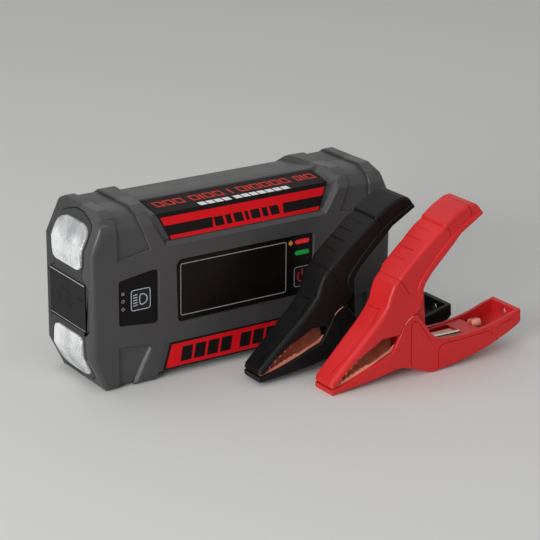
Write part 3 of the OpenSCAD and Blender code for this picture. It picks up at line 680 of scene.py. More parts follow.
def arc(u: float, v: float, radius: float, start: float, turn: float, steps: int,
        height: float | None = None) -> list[Point]:
    """Give the points of an arc.

    Args:
        u: the centre's place across.
        v: its place upwards.
        radius: the radius, or half the width of an oval.
        start: angle of the first point, in degrees.
        turn: angle from the first point to the last.
        steps: how many pieces the arc has.
        height: half the height of an oval, if it isn't the radius.

    Returns:
        The points, one more than the pieces.
    """
    turns = [radians(start + turn * k / steps) for k in range(steps + 1)]
    return [(u + radius * cos(a), v + (height or radius) * sin(a)) for a in turns]


def rounded(points: Sequence[Point], radius: float, steps: int = 5) -> list[Point]:
    """Round every corner of a closed outline.

    Args:
        points: the outline's corners, in order.
        radius: the corner radius.
        steps: pieces in each corner.

    Returns:
        The new outline.
    """
    made: list[Point] = []
    for i, point in enumerate(points):
        b = Vector(point)
        u = (Vector(points[i - 1]) - b).normalized()
        v = (Vector(points[(i + 1) % len(points)]) - b).normalized()
        half = u.angle(v) / 2
        middle = b + (u + v).normalized() * radius / sin(half)
        start = b + u * radius / tan(half) - middle
        end = b + v * radius / tan(half) - middle
        a0, a1 = atan2(start.y, start.x), atan2(end.y, end.x)
        turn = (a1 - a0 + pi) % (2 * pi) - pi
        made += arc(middle.x, middle.y, radius, degrees(a0), degrees(turn), steps)
    return made


def oblong(u: float, v: float, width: float, height: float) -> list[Point]:
    """Give the corners of an upright oblong about (u, v)."""
    a, b = width / 2, height / 2
    return [(u + a, v - b), (u + a, v + b), (u - a, v + b), (u - a, v - b)]


def stroke(start: Point, end: Point, width: float) -> list[Point]:
    """Give the corners of a straight stroke.

    Args:
        start: middle of its first end.
        end: middle of its other end.
        width: its width.

    Returns:
        The four corners.
    """
    a, b = Vector(start), Vector(end)
    side = (b - a).normalized().orthogonal() * width / 2
    return [tuple(a - side), tuple(b - side), tuple(b + side), tuple(a + side)]


def disc(u: float, v: float, radius: float, steps: int = 28) -> list[Point]:
    """Give a round outline about (u, v)."""
    return arc(u, v, radius, 0, 360, steps)[:-1]


def plate(surface: Surface, outline: Sequence[Point], low: float, high: float,
          rim: float | None = None) -> Piece:
    """Model a thin plate, or a frame, that lies on a surface.

    Args:
        surface: gives the point at (u, v) and a height above the surface.
        outline: the plate's outline in u and v.
        low: height of its underside.
        high: height of its face.
        rim: width of the frame, or None for a full plate.

    Returns:
        The plate.
    """
    only()
    bpy.ops.mesh.primitive_circle_add(vertices=len(outline), radius=0.01,
                                      fill_type="NGON", location=(0, 0, 0))
    piece = bpy.context.object
    for corner, (u, v) in zip(piece.data.vertices, outline):
        corner.co = surface(u, v, low)
    u, v = outline[0]
    rise = surface(u, v, high) - surface(u, v, low)
    edit(piece)
    if rim is not None:
        bpy.ops.mesh.inset(thickness=rim * MM, use_even_offset=True)
        bpy.ops.mesh.delete(type="FACE")
        bpy.ops.mesh.select_all(action="SELECT")
    bpy.ops.mesh.extrude_region_move(TRANSFORM_OT_translate={"value": rise})
    face_outwards()
    return piece


def face_outwards() -> None:
    """Turn all faces of the mesh being edited outwards and leave edit mode."""
    bpy.ops.mesh.select_all(action="SELECT")
    bpy.ops.mesh.normals_make_consistent(inside=False)
    bpy.ops.object.mode_set(mode="OBJECT")


def printed(surface: Surface, outline: Sequence[Point], rim: float | None = None,
            coats: int = 1) -> Piece:
    """Print a shape, or with rim the line round it, in one or more coats of ink."""
    return plate(surface, outline, INK_ROOT, coats * INK, rim)


def eased(piece: Piece, width: float) -> Piece:
    """Round every sharp edge of a small piece.

    Args:
        piece: the piece.
        width: width of the roundings.

    Returns:
        The piece.
    """
    edit(piece)
    if choose("EDGE", lambda e: sharp(e, 40)):
        bpy.ops.mesh.bevel(offset=width * MM, segments=3, affect="EDGES",
                           clamp_overlap=True)
    finish_shading(piece)
    return piece


def met(piece: Piece, start: Vector, way: Vector) -> tuple[Vector, Vector]:
    """Find where a line meets a piece.

    Args:
        piece: the piece, with its origin at the scene's.
        start: where the line starts, in metres.
        way: its direction.

    Returns:
        The spot and the surface's outward direction there.
    """
    found, spot, normal, _ = piece.ray_cast(start, way.normalized())
    if not found:
        raise ValueError(f"{piece.name}: no surface along the line from {start}")
    return spot, normal


def sweep(path: Path, width: float, height: float, depth: float) -> Piece:
    """Model a bar of oblong section that follows a line on a surface.

    Args:
        path: the line.
        width: width of the bar.
        height: its height above the surface.
        depth: its depth below the surface.

    Returns:
        The bar.
    """
    only()
    count = len(path)
    bpy.ops.mesh.primitive_grid_add(x_subdivisions=count - 1, y_subdivisions=3,
                                    size=0.01, location=(0, 0, 0))
    piece = bpy.context.object
    sides: list[Vector] = []
    for i, (point, out) in enumerate(path):
        before = (point - path[i - 1][0]).normalized() if i else None
        after = (path[i + 1][0] - point).normalized() if i + 1 < count else None
        if before is None or after is None:
            sides.append((before or after).cross(out).normalized())
        else:
            a, b = before.cross(out).normalized(), after.cross(out).normalized()
            sides.append((a + b) / (1 + a.dot(b)))
    # four rows of points: the section's corners, from low left over the top
    for i, corner in enumerate(piece.data.vertices):
        k, row = i % count, i // count
        point, out = path[k]
        across = -width / 2 if row < 2 else width / 2
        level = height if row in (1, 2) else -depth
        corner.co = point + (sides[k] * across + out * level) * MM
    edit(piece)
    choose("EDGE", lambda e: all(v.index < count for v in e.verts)
           or all(v.index >= 3 * count for v in e.verts))
    bpy.ops.mesh.bridge_edge_loops()
    bpy.ops.mesh.select_all(action="SELECT")
    bpy.ops.mesh.fill_holes(sides=4)
    face_outwards()
    return piece


def joined(name: str, parts: Sequence[Piece]) -> Piece:
    """Join pieces of one material into one object.

    Args:
        name: the object's name.
        parts: the pieces, one or more.

    Returns:
        The object.
    """
    only(*parts)
    if len(parts) > 1:
        bpy.ops.object.join()
    parts[0].name = parts[0].data.name = name
    return parts[0]


def trim(name: str, parts: Sequence[Piece], finish: Finish, node: str,
         slot: str) -> None:
    """Join and finish small pieces that move with a node."""
    dress(joined(name, parts), finish, BODY_OF[node], slot)


def front(y: float) -> Surface:
    """Give the upright surface that faces the front at y."""
    return lambda u, v, w: Vector((u, y - w, v)) * MM


# ---- the pack
@dataclass
class PackCase:
    """The two halves of the case and the screws that hold them."""
    edge: float = 1.1
    crease: float = 24.0
    shortest: float = 1.4
    smooth: float = 40.0
    # lowest and highest corner of the case's inside and of the window's ledge
    inner_boxes: ClassVar[tuple] = (((-106, -26.3, 6), (106, 26.3, 106.8)),
                                    ((-106, -28.2, 30), (106, 28.2, 80)))
    # corners of the hollows' wall feet, and how far each is laid back
    wall_feet: ClassVar[tuple] = (
        ((61.2, -27.3, 90.5), (-2.8, 0, 0)), ((69.8, -24.4, 107.4), (-2.8, 0, 0)),
        ((68.1, -9.1, 110.3), (-2.8, 0, 0)),
        ((71.2, -28.2, 22.5), (2.0, 0, 0.6)), ((72.2, -28.2, 24.8), (1.5, 0, -0.4)),
        ((81.3, -28.2, 3.2), (1.9, 0, 0)))
    foot_reach: float = 0.8

    def build(self) -> None:
        """Round and finish the case halves and finish the screws."""
        rounding = Rounding(self.edge, 4, self.outside)
        # the rear half's darker finish is painted shade
        for node, finish, slot in (("front_shell", CASE, "case"),
                                   ("rear_shell", SHADED_REAR_CASE, "rear_case")):
            renew(node, "moulding", finish, slot, rounding, smooth=self.smooth,
                  before=self.slope_walls)
        paint({"case_screws": STEEL})

    def slope_walls(self) -> None:
        """Lay back the end walls of the label's hollow and of the lower grooves."""
        for side in (-1, 1):
            for (x, y, z), (dx, dy, dz) in self.wall_feet:
                foot, near = Vector((side * x, y, z)) * MM, self.foot_reach * MM
                if choose("VERT", lambda v: (v.co - foot).length < near):
                    bpy.ops.transform.translate(
                        value=(side * dx * MM, dy * MM, dz * MM))

    def outside(self, edge: Edge) -> bool:
        """Tell whether an edge is rounded: sharp, outside, and not on the seam.

        Args:
            edge: the edge.

        Returns:
            True if it is.
        """
        spot = halfway(edge)
        inside = any(all(a < c < b for a, c, b in zip(low, spot, high))
                     for low, high in self.inner_boxes)
        seam = all(abs(v.co.y) < 0.01 * MM for v in edge.verts)
        return sharp(edge, self.crease, self.shortest) and not inside and not seam


@dataclass
class LampEnd:
    """The lamps, the ports and their rubber cover at the left end, and both inserts."""
    insert_round: float = 0.35
    lens_round: float = 0.8
    cover_round: float = 0.6
    insert_x: float = 108.5
    lens_x: float = -107.5
    lens_z: float = 56.0
    lens_reach: float = 45.0
    cover_x: float = -113.4
    face_x: float = -113.6
    cover_z: float = 54.2
    cover_w: float = 45.2
    cover_h: float = 30.8
    root: float = -0.1
    relief: float = 0.12
    # the cover's battery symbol, its posts, minus and plus, and the finger grip
    battery: ClassVar[tuple] = (-4, 0, 15, 9.4)
    bars: ClassVar[tuple] = ((-8, 5.6, 3, 1.6), (0, 5.6, 3, 1.6), (-8, 0, 3.6, 0.9),
                             (0, 0, 3.6, 0.9), (0, 0, 0.9, 3.6))
    grip: ClassVar[tuple] = (15.8, 4.4, 4.6, 1.2)

    def build(self) -> None:
        """Build every piece of both ends."""
        for node in ("lamp_bezel", "end_plate"):
            renew(node, "moulding", INSERT, "insert", Rounding(
                self.insert_round, 2, lambda e: sharp(e, 30, 0.8) and all(
                    abs(x) > self.insert_x for x in reach(e, 0))))
        for node in ("upper_lens", "lower_lens"):
            renew(node, "moulding", LENS, "lens",
                  Rounding(self.lens_round, 4, self.lens_rim))
        renew("port_cover", "moulding", COVER, "cover", Rounding(
            self.cover_round, 3,
            lambda e: sharp(e, 40, 1.0) and reach(e, 0)[0] < self.cover_x))
        self.cover_trim()
        paint({"upper_reflector": MIRROR, "lower_reflector": MIRROR, "lamp_leds": LED,
               "port_cover_pin": STEEL, "port_block": SOCKET, "jump_contacts": CONTACT,
               "usb_shells": NICKEL, "usb_tongues": TONGUE})

    def lens_rim(self, edge: Edge) -> bool:
        """Tell whether a sharp edge is round a lens's face or at its outer end."""
        return sharp(edge, 50) and (reach(edge, 0)[0] < self.lens_x or max(
            abs(z - self.lens_z) for z in reach(edge, 2)) > self.lens_reach)

    def on_cover(self, u: float, v: float, w: float) -> Vector:
        """Give a point on the cover's face: u to the right, v up, w outwards."""
        return Vector((self.face_x - w, -u, self.cover_z + v)) * MM

    def cover_trim(self) -> None:
        """Raise the cover's symbols, and painted highlights on its lip and hinge line.
        """
        at, low, high = self.on_cover, self.root, self.relief
        parts = [plate(at, rounded(oblong(*self.battery), 1), low, high, 0.9)]
        parts += [plate(at, oblong(*bar), low, high) for bar in self.bars]
        parts.append(plate(at, rounded(oblong(*self.grip), 0.5), low, 3 * high))
        top, length = self.cover_h / 2, self.cover_w - 1.2
        # pale strips along the top lip and the hinge line: painted highlights
        edges = [eased(plate(at, oblong(0, v, length, width), low, height), 0.2)
                 for v, width, height in ((top - 0.25, 0.75, 0.3),
                                          (1.2 - top, 0.4, 0.06))]
        trim("port_cover_painted_highlights", edges, COVER_EDGE_HIGHLIGHT, "port_cover", "cover")
        trim("port_cover_relief", parts, COVER, "port_cover", "cover")


@dataclass
class DisplaySide:
    """The display window, the lamp panel, both buttons, the lights and their print."""
    window_y: float = -28.4
    button_y: float = -28.7
    light_y: float = -28.5
    edge: float = 0.25
    lamp_at: Point = (-78.0, 56.3)
    power_at: Point = (42.6, 48.4)
    green_z: float = 64.7
    red_z: float = 72.2
    # lights below split_z are green, and those left of split_x are amber
    split_z: float = 68.5
    split_x: float = 35.8
    # the display's frame: middle, width and height, and width of its line
    frame: ClassVar[tuple] = (-9.45, 56.65, 79.7, 34.5)
    frame_line: float = 0.55
    # the lamp panel's three mode symbols, from the top, and their line
    mode_x: float = -90.4
    mode_z: Place = (61.9, 57.0, 51.8)
    mode_line: float = 0.42
    # the line of the headlamp symbol, and radii of the power symbol's ring
    lamp_line: float = 0.62
    ring_radii: Point = (3.9, 3.1)

    def build(self) -> None:
        """Build the window, the panel, the buttons, the lights and the print."""
        for node, word, finish, slot, steps, y in (
                ("display_window", "sheet", GLOSS, "gloss_black", 2, self.window_y),
                ("lamp_panel", "sheet", GLOSS, "gloss_black", 2, self.window_y),
                ("lamp_button", "cap", BUTTON, "button", 3, self.button_y),
                ("power_button", "cap", BUTTON, "button", 3, self.button_y)):
            renew(node, word, finish, slot, Rounding(
                self.edge, steps, lambda e: sharp(e, 60) and reach(e, 1)[1] < y + 0.02))
        paint({"display_module": DISPLAY, "lamp_switch": SWITCH, "power_switch": SWITCH})
        self.lights()
        self.window_print()
        self.lamp_symbol()
        self.power_symbol()

    def lights(self) -> None:
        """Give each status light its colour by its place, and its paler rim."""
        pipes = moulding("status_lights", "status_light_pipes", [])
        dress(pipes, RED_LIGHT, BODY_OF["status_lights"], "lights", "status_lights")
        edit(pipes)
        for index, finish, axis, split in ((1, GREEN_LIGHT, 2, self.split_z),
                                           (2, AMBER_LIGHT, 0, self.split_x)):
            pipes.data.materials.append(finish.material())
            choose("FACE", lambda f: f.calc_center_median()[axis] < split * MM)
            pipes.active_material_index = index
            bpy.ops.object.material_slot_assign()
        for ink, z, word in ((INK_MINT, self.green_z, "green"),
                             (INK_ROSE, self.red_z, "red")):
            rim = plate(front(self.light_y), rounded(
                oblong(self.power_at[0], z, 11.0, 3.0), 1.45, 7), -0.05, 0.05, 0.3)
            trim(word + "_light_rim", [rim], ink, "status_lights", "lights")

    def window_print(self) -> None:
        """Print the frame line of the display and the three small symbols."""
        at = front(self.window_y)
        line = printed(at, rounded(oblong(*self.frame), 1.6), self.frame_line)
        trim("display_frame_line", [line], INK_GREY, "display_window", "gloss_black")
        x, (top, middle, low), half = self.mode_x, self.mode_z, 1.35
        marks = [printed(at, outline, self.mode_line) for outline in (
            rounded(oblong(x, top, 1.9, 1.9), 0.4, 3), disc(x, middle, 1.1),
            [(x + half, low), (x, low + half), (x - half, low), (x, low - half)])]
        marks.append(printed(at, disc(x, top, 0.3, 10)))
        trim("lamp_mode_symbols", marks, INK_GREY, "lamp_panel", "gloss_black")

    def lamp_symbol(self) -> None:
        """Print the headlamp symbol and the border on the lamp button."""
        at = front(self.button_y)
        u, v = self.lamp_at
        lamp = arc(u, v, 1.1, 110, 140, 8, 3.6) + arc(u + 0.7, v, 4.2, -90, 180, 14, 3.7)
        parts = [printed(at, rounded(oblong(u, v, 14.0, 13.8), 1.9), 0.5),
                 printed(at, lamp, self.lamp_line)]
        for k in range(5):
            z = v - 3.4 + 1.7 * k
            parts.append(printed(at, stroke((u - 5.4, z - 0.15), (u - 2.3, z + 0.15),
                                            self.lamp_line)))
        trim("headlamp_symbol", parts, INK_PALE, "lamp_button", "button")

    def power_symbol(self) -> None:
        """Print the power symbol and the border on the power button."""
        at = front(self.button_y)
        u, v = self.power_at
        border = printed(at, rounded(oblong(u, v, 12.6, 13.8), 1.9), 0.45)
        trim("power_button_border", [border], INK_GREY, "power_button", "button")
        outer, inner = (arc(u, v, radius, 125, 290, 24) for radius in self.ring_radii)
        parts = [printed(at, outer + inner[::-1]),
                 printed(at, oblong(u, v + 2.9, 0.85, 4.0))]
        trim("power_symbol", parts, INK_DULL_RED, "power_button", "button")


@dataclass(frozen=True)
class BlockRow:
    """A printed row of slanted blocks, where a width of 0 leaves a space."""
    name: str
    ink: Finish
    widths: Sequence[float]
    start: float
    low: float
    high: float
    lean: float
    gap: float
    space: float = 0.0
    coats: int = 1
    line: float | None = None
    thinnest: float = 4.0

    def lay(self, surface: Surface) -> None:
        """Print the row; blocks above the thinnest are outlines where line is given.

        Args:
            surface: the label's surface.
        """
        blocks = []
        u = self.start
        for width in self.widths:
            if width:
                blocks.append(printed(surface, [
                    (u, self.low), (u + width, self.low),
                    (u + width + self.lean, self.high), (u + self.lean, self.high)],
                    self.line if width > self.thinnest else None, self.coats))
            u += (width or self.space) + self.gap
        trim(self.name, blocks, self.ink, "upper_label", "label")


@dataclass
class Labels:
    """The two printed labels and their plain patterns."""
    low: Point = (-27.4, 90.5)
    bend: Point = (-24.4, 107.4)
    back: Point = (-5.9, 110.9)
    thick: float = 0.5
    # half the upper label's length at its lower edge, and what it gains on the way up
    half_low: float = 56.0
    half_gain: float = 7.8
    height: float = 17.16
    margin: float = 1.0
    # face of the lower label
    plate_y: float = -29.1
    rows: ClassVar[tuple[BlockRow, ...]] = (
        BlockRow("upper_label_black_blocks", INK_BLACK,
                 (6.6, 4.0, 6.6, 2.4, 6.6, 4.0, 6.6), -22.4, 3.0, 9.0, -1.4, 1.9,
                 coats=2),
        BlockRow("upper_label_white_blocks", INK_WHITE,
                 (*(5.0,) * 4, 0, *(5.0,) * 7), -31.4, 0.2, 4.2, -0.9, 1.0, space=1.2),
        BlockRow("upper_label_red_outlines", INK_DULL_RED,
                 (6.2, 6.2, 6.2, 0, 6.2, 1.6, 6.2, 6.2, 0, 1.6, 0, 6.2, 1.6, 6.2, 6.2,
                  6.2, 6.2, 0, 4.4, 1.6, 6.2), -58.6, 7.4, 14.0, -1.4, 1.25, space=2.4,
                 line=1.15))
    lower_row: ClassVar[BlockRow] = BlockRow(
        "lower_label_black_blocks", INK_BLACK,
        (*(8.0,) * 4, 0, *(8.0,) * 4, 3.0, 8.0), -50.0, 9.0, 18.8, 1.6, 1.8, space=3.0,
        coats=2)

    def lower_panel(self, u: float, v: float, w: float) -> Vector:
        """Give a point on the label's upright part; v runs up from its lower edge."""
        return self.along(self.low, self.bend, u, v, w)

    def upper_panel(self, u: float, v: float, w: float) -> Vector:
        """Give a point on the label's flat part; v runs back from the bend."""
        return self.along(self.bend, self.back, u, v, w)

    def along(self, start: Point, end: Point, u: float, v: float, w: float) -> Vector:
        """Give a point on the flat strip between two lines of the label.

        Args:
            start: place (y, z) of the line where v is 0.
            end: place of the other line.
            u: distance to the right.
            v: distance from start towards end.
            w: height above the label's face.

        Returns:
            The point, in metres.
        """
        a, b = Vector(start), Vector(end)
        way = (b - a).normalized()
        spot = a + way * v + Vector((-way.y, way.x)) * (self.thick + w)
        return Vector((u, spot.x, spot.y)) * MM

    def band(self, v0: float, v1: float) -> Piece:
        """Print a band from end to end of the upright part, v0 to v1 high."""
        h0, h1 = (self.half_low + self.half_gain * v / self.height - self.margin
                  for v in (v0, v1))
        return printed(self.lower_panel, [(h0, v0), (h1, v1), (-h1, v1), (-h0, v0)])

    def build(self) -> None:
        """Finish both labels and print their patterns."""
        paint({"upper_label": FILM_BLACK, "lower_label": FILM_BLACK})
        bands = [self.band(0.3, 2.7), self.band(9.3, 14.6),
                 printed(self.lower_panel, oblong(1.95, 6.0, 52.9, 6.6))]
        trim("upper_label_red_bands", bands, FILM_RED, "upper_label", "label")
        for row, surface in zip(self.rows, (self.lower_panel, self.upper_panel,
                                            self.upper_panel)):
            row.lay(surface)
        lower = front(self.plate_y)
        field = printed(lower, [(60.6, 6.5), (56.2, 21.7), (-56.2, 21.7), (-60.6, 6.5)])
        trim("lower_label_red_field", [field], FILM_RED, "upper_label", "label")
        self.lower_row.lay(lower)


@dataclass
class Inside:
    """Battery, contact bars and board inside the case."""
    finishes: ClassVar[dict[str, Finish]] = {
        "battery_cells": CELL, "cell_bars": COPPER, "main_board": BOARD}

    def build(self) -> None:
        """Finish the inner pieces."""
        paint(self.finishes)


# ---- the clamps
class ClampColour(Enum):
    """The two clamps of the pair."""
    RED = "red"
    BLACK = "black"


@dataclass
class Clamp:
    """One battery clamp: two arms, two copper jaws, pin and spring.

    It is drawn with its pivot over the origin and its jaws to -X. Foot is where
    that origin stands, and tilt, in degrees, turns it about its heel.
    """
    colour: ClampColour
    foot: Place
    tilt: float = 0.0
    heel: float = 13.0
    pivot_z: float = 28.0
    tip_x: float = -70.0
    tip_half: float = 9.2
    end_half: float = 14.25
    taper: float = 134.0
    back_round: float = 3.0
    belly_round: float = 1.4
    edge_round: float = 0.7
    rim_fold: float = 50.0
    line_w: float = 0.65
    line_d: float = 0.6
    strip_r: float = 14.6
    wire: float = 2.0
    wire_gap: float = 0.55
    coil: float = 7.0
    turns: float = 3 + 110 / 360
    coil_steps: int = 72
    # places of the spring's lower leg along the clamp, and its drop below the coil
    lower_leg: Point = (37.6, 35.0)
    leg_drop: float = 0.8
    # slope of the upper leg, in degrees, and how far it goes from the coil
    leg_slope: float = 70.0
    upper_leg: Point = (55.4, 58.4)
    # share of the back's rounding, each up to its place along the clamp
    back_steps: ClassVar[tuple] = ((-26.0, 1.0), (-23.4, 0.8), (1000.0, 0.66))
    # grooves over the back: place, slope and the way down each side
    rings: ClassVar[tuple] = (
        (34.4, 108.0, 8.0, [(35.6, 105.2), (36.5, 102.6), (37.0, 99.4)]),
        (15.7, 96.5, 45.0, [(18.3, 95.6), (19.8, 93.8), (20.6, 90.4)]),
        (-17.0, 67.4, 49.5, [(-13.6, 63.4), (-11.0, 59.6), (-9.2, 56.4)]))
    lower_lines: ClassVar[tuple] = (
        [(-5.9, 8.4), (-6.2, 22.1), (-6.7, 32.3), (-6.3, 36.9), (-3.8, 38.0),
         (-0.7, 36.0), (2.6, 31.6), (5.9, 26.6), (9.2, 21.7)],
        [(15.6, 2.6), (15.1, 13.0), (16.4, 17.2), (21.1, 18.3), (32.1, 18.6),
         (44.0, 19.3), (54.4, 19.9), (56.9, 18.7), (57.9, 16.1)],
        [(61.7, 13.0), (61.8, 18.8), (64.0, 22.3), (70.4, 24.0), (73.6, 24.6),
         (75.4, 23.0)])
    jaw_border: ClassVar[tuple] = (
        (-26.9, 7.2), (-26.9, -1.2), (-26.4, -3.9), (-32.9, -4.7), (-41.6, -5.3),
        (-48.8, -5.0), (-55.6, -4.1), (-62.4, -3.3))
    jaw_rise: float = 74.4
    flange_edge: ClassVar[tuple] = (
        (36.5, 99.6), (28.2, 95.0), (20.8, 89.0), (13.4, 81.7), (6.1, 73.8),
        (-1.1, 64.5), (-3.4, 60.0), (-3.0, 55.0), (0.9, 50.0), (0.9, 57.9), (2.8, 62.2),
        (6.9, 68.0), (14.1, 75.3), (21.5, 82.7), (28.8, 90.7), (36.3, 95.4),
        (45.4, 101.2), (43.6, 103.8))

    @property
    def plastic(self) -> Finish:
        """Give the finish of the arms."""
        return RED_PLASTIC if self.colour is ClampColour.RED else BLACK_PLASTIC

    @property
    def slot(self) -> str:
        """Give the record's slot of the arms."""
        return self.colour.value + "_plastic"

    def node(self, word: str) -> str:
        """Give the full name of one of the clamp's nodes."""
        return f"{self.colour.value}_{word}"

    def place(self, x: float, y: float, z: float) -> Vector:
        """Turn a point of the clamp's own drawing into its place.

        Args:
            x: distance along the clamp.
            y: distance from its middle, towards the pack.
            z: height above its foot.

        Returns:
            The place, in metres.
        """
        a = radians(self.tilt)
        u = x - self.heel
        fx, fy, fz = self.foot
        return Vector((fx + self.heel + u * cos(a) + z * sin(a), fy + y,
                       fz - u * sin(a) + z * cos(a))) * MM

    def local(self, point: Vector) -> Vector:
        """Turn a place into a point of the clamp's own drawing.

        Args:
            point: the place, in metres.

        Returns:
            The point, in millimetres.
        """
        a = radians(self.tilt)
        fx, fy, fz = self.foot
        u, w = point.x / MM - fx - self.heel, point.z / MM - fz
        return Vector((self.heel + u * cos(a) - w * sin(a), point.y / MM - fy,
                       u * sin(a) + w * cos(a)))

    def half(self, x: float) -> float:
        """Give the clamp's half width at x."""
        widening = (self.end_half - self.tip_half) / self.taper
        return min(self.end_half, self.tip_half + widening * (x - self.tip_x))

    def flank(self, side: int) -> Surface:
        """Give the surface of one side: -1 faces the front, 1 the pack."""
        return lambda u, v, w: self.place(u, side * (self.half(u) + w), v)

    def middle(self, edge: Edge) -> Vector:
        """Give the middle of an edge in the clamp's own drawing."""
        return self.local((edge.verts[0].co + edge.verts[1].co) / 2)

    def is_rim(self, edge: Edge) -> bool:
        """Tell whether an edge runs along the outside of the clamp's sides."""
        spot = self.middle(edge)
        return abs(abs(spot.y) - self.half(spot.x)) < 0.08

    def beyond(self, edge: Edge) -> Vector:
        """Look across a sharp edge of the rim, away from the clamp's side.

        Args:
            edge: the edge.

        Returns:
            The normal of the face there, or no direction for any other edge.
        """
        if not sharp(edge, self.rim_fold) or not self.is_rim(edge):
            return Vector()
        normal = min(edge.link_faces, key=lambda f: abs(f.normal.y)).normal
        return normal if abs(normal.y) < 0.3 else Vector()

    def back_edge(self, edge: Edge) -> bool:
        """Tell whether an edge runs along the outer back of the upper arm."""
        normal = self.beyond(edge)
        return 0.7 * normal.z - 0.7 * normal.x > 0.15

    def belly_edge(self, edge: Edge) -> bool:
        """Tell whether an edge runs along the underside of the lower arm."""
        return self.beyond(edge).z < -0.3

    def small_edge(self, edge: Edge) -> bool:
        """Tell whether an edge is one of the other sharp outer edges."""
        return sharp(edge, 55, 1.2) and self.is_rim(edge)

    def back_share(self, edge: Edge) -> float:
        """Give the share of the back's rounding: full over the jaw, less behind."""
        x = self.middle(edge).x
        return next(share for end, share in self.back_steps if x < end)

    def build(self) -> None:
        """Build the whole clamp."""
        self.arm("upper_arm", self.upper_cutters, Rounding(
            self.back_round, 6, self.back_edge, self.back_share))
        self.arm("lower_arm", self.lower_cutters, Rounding(
            self.belly_round, 4, self.belly_edge))
        paint({self.node("lower_jaw"): COPPER, self.node("upper_jaw"): COPPER,
               self.node("pin"): STEEL})
        self.flange()
        self.shoulder_strip()
        self.spring()

    def arm(self, word: str, cutters: Callable[[Piece], list[Piece]],
            rounding: Rounding) -> None:
        """Round, carve and finish one arm.

        Args:
            word: the arm's node, without the colour.
            cutters: makes the cutters of its grooves.
            rounding: its broad rounding.
        """
        node = self.node(word)
        piece = moulding(node, node + "_moulding",
                         [rounding, Rounding(self.edge_round, 3, self.small_edge)])
        carved(piece, cutters(piece))
        finish_shading(piece)
        dress(piece, self.plastic, BODY_OF[node], self.slot, node)

    def upper_cutters(self, piece: Piece) -> list[Piece]:
        """Model the cutters of the upper arm's grooves."""
        return [self.ring(piece, *ring) for ring in self.rings] + [self.jaw_line(piece)]

    def lower_cutters(self, piece: Piece) -> list[Piece]:
        """Model the cutters of the lines on both sides of the lower arm."""
        return [sweep(self.side_path(piece, line, side), self.line_w, 0.4, self.line_d)
                for line in self.lower_lines for side in (-1, 1)]

    def side_path(self, piece: Piece, line: Sequence[Point], side: int) -> Path:
        """Lay a line on one side of an arm.

        Args:
            piece: the arm.
            line: the line's points (x, z).
            side: -1 for the front, 1 for the side to the pack.

        Returns:
            The path.
        """
        out = Vector((0, side, 0))
        return [(met(piece, self.place(x, side * 30, z), -out)[0], out)
                for x, z in line]

    def ring(self, piece: Piece, x: float, z: float, slope: float,
             line: Sequence[Point]) -> Piece:
        """Model the cutter of a groove that goes over the back and down both sides.

        Args:
            piece: the upper arm.
            x: where it crosses the back, along the clamp.
            z: the back's height there.
            slope: the back's slope there, in degrees.
            line: the groove's way down each side, from the back.

        Returns:
            The cutter.
        """
        a = radians(slope)
        out = Vector((-sin(a), 0, cos(a)))
        centre = Vector((x, 0, z)) - out * 6
        over = []
        for k in range(-10, 11):
            turn = radians(7.0 * k)
            way = out * cos(turn) + Vector((0, sin(turn), 0))
            start, end = self.place(*(centre + way * 40)), self.place(*centre)
            over.append(met(piece, start, end - start))
        near, far = (self.side_path(piece, line, side) for side in (-1, 1))
        return sweep(near[::-1] + over + far, self.line_w, 0.5, self.line_d)

    def jaw_line(self, piece: Piece) -> Piece:
        """Model the cutter of the border line on the back of the upper jaw.

        Args:
            piece: the upper arm.

        Returns:
            The cutter.
        """
        down = self.place(1, 0, -1) - self.place(0, 0, 0)
        path = []
        for x, y in self.jaw_border:
            spot, _ = met(piece, self.place(x, y, x + self.jaw_rise) - down * 10, down)
            path.append((spot, -down.normalized()))
        return sweep(path, self.line_w, 0.5, self.line_d)

    def flange(self) -> None:
        """Raise the flange along the upper arm's hollow edge, on both sides."""
        parts = [eased(plate(self.flank(side), self.flange_edge, -1.2, 0.9), 0.6)
                 for side in (-1, 1)]
        trim(self.node("handle_flange"), parts, self.plastic, self.node("upper_arm"),
             self.slot)

    def shoulder_strip(self) -> None:
        """Show the edge of the jaw's plate in the gap round each shoulder."""
        spots = arc(0, self.pivot_z, self.strip_r, 112, 30, 8)
        parts = [sweep([(self.flank(side)(x, z, 0), Vector((0, side, 0)))
                        for x, z in spots], 0.3, 0.12, 2.0) for side in (-1, 1)]
        trim(self.node("shoulder_strip"), parts, COPPER, self.node("lower_arm"),
             "copper")

    def spring(self) -> None:
        """Wind the torsion spring as round wire."""
        width = self.turns * (self.wire + self.wire_gap)
        y0, z = -width / 2, self.pivot_z
        points = [(x, y0, z - self.coil - self.leg_drop) for x in self.lower_leg]
        round_coil = arc(0, z, self.coil, -90, -360 * self.turns, self.coil_steps)
        points += [(x, y0 + width * k / self.coil_steps, up)
                   for k, (x, up) in enumerate(round_coil)]
        slope = radians(self.leg_slope)
        end, away = Vector(points[-1]), Vector((cos(slope), 0, sin(slope)))
        points += [tuple(end + away * length) for length in self.upper_leg]
        only()
        bpy.ops.curve.primitive_bezier_curve_add(location=(0, 0, 0))
        track = bpy.context.object.data
        track.splines.clear()
        line = track.splines.new("POLY")
        line.points.add(len(points) - 1)
        for spot, point in zip(line.points, points):
            spot.co = (*self.place(*point), 1.0)
        track.bevel_depth = self.wire / 2 * MM
        track.bevel_resolution = 3
        track.use_fill_caps = True
        only(bpy.context.object)
        bpy.ops.object.convert(target="MESH")
        piece = joined(self.node("spring_wire"), [bpy.context.object])
        finish_shading(piece, 50)
        dress(piece, SPRING_STEEL, None, "steel", self.node("spring"))
        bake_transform(piece)


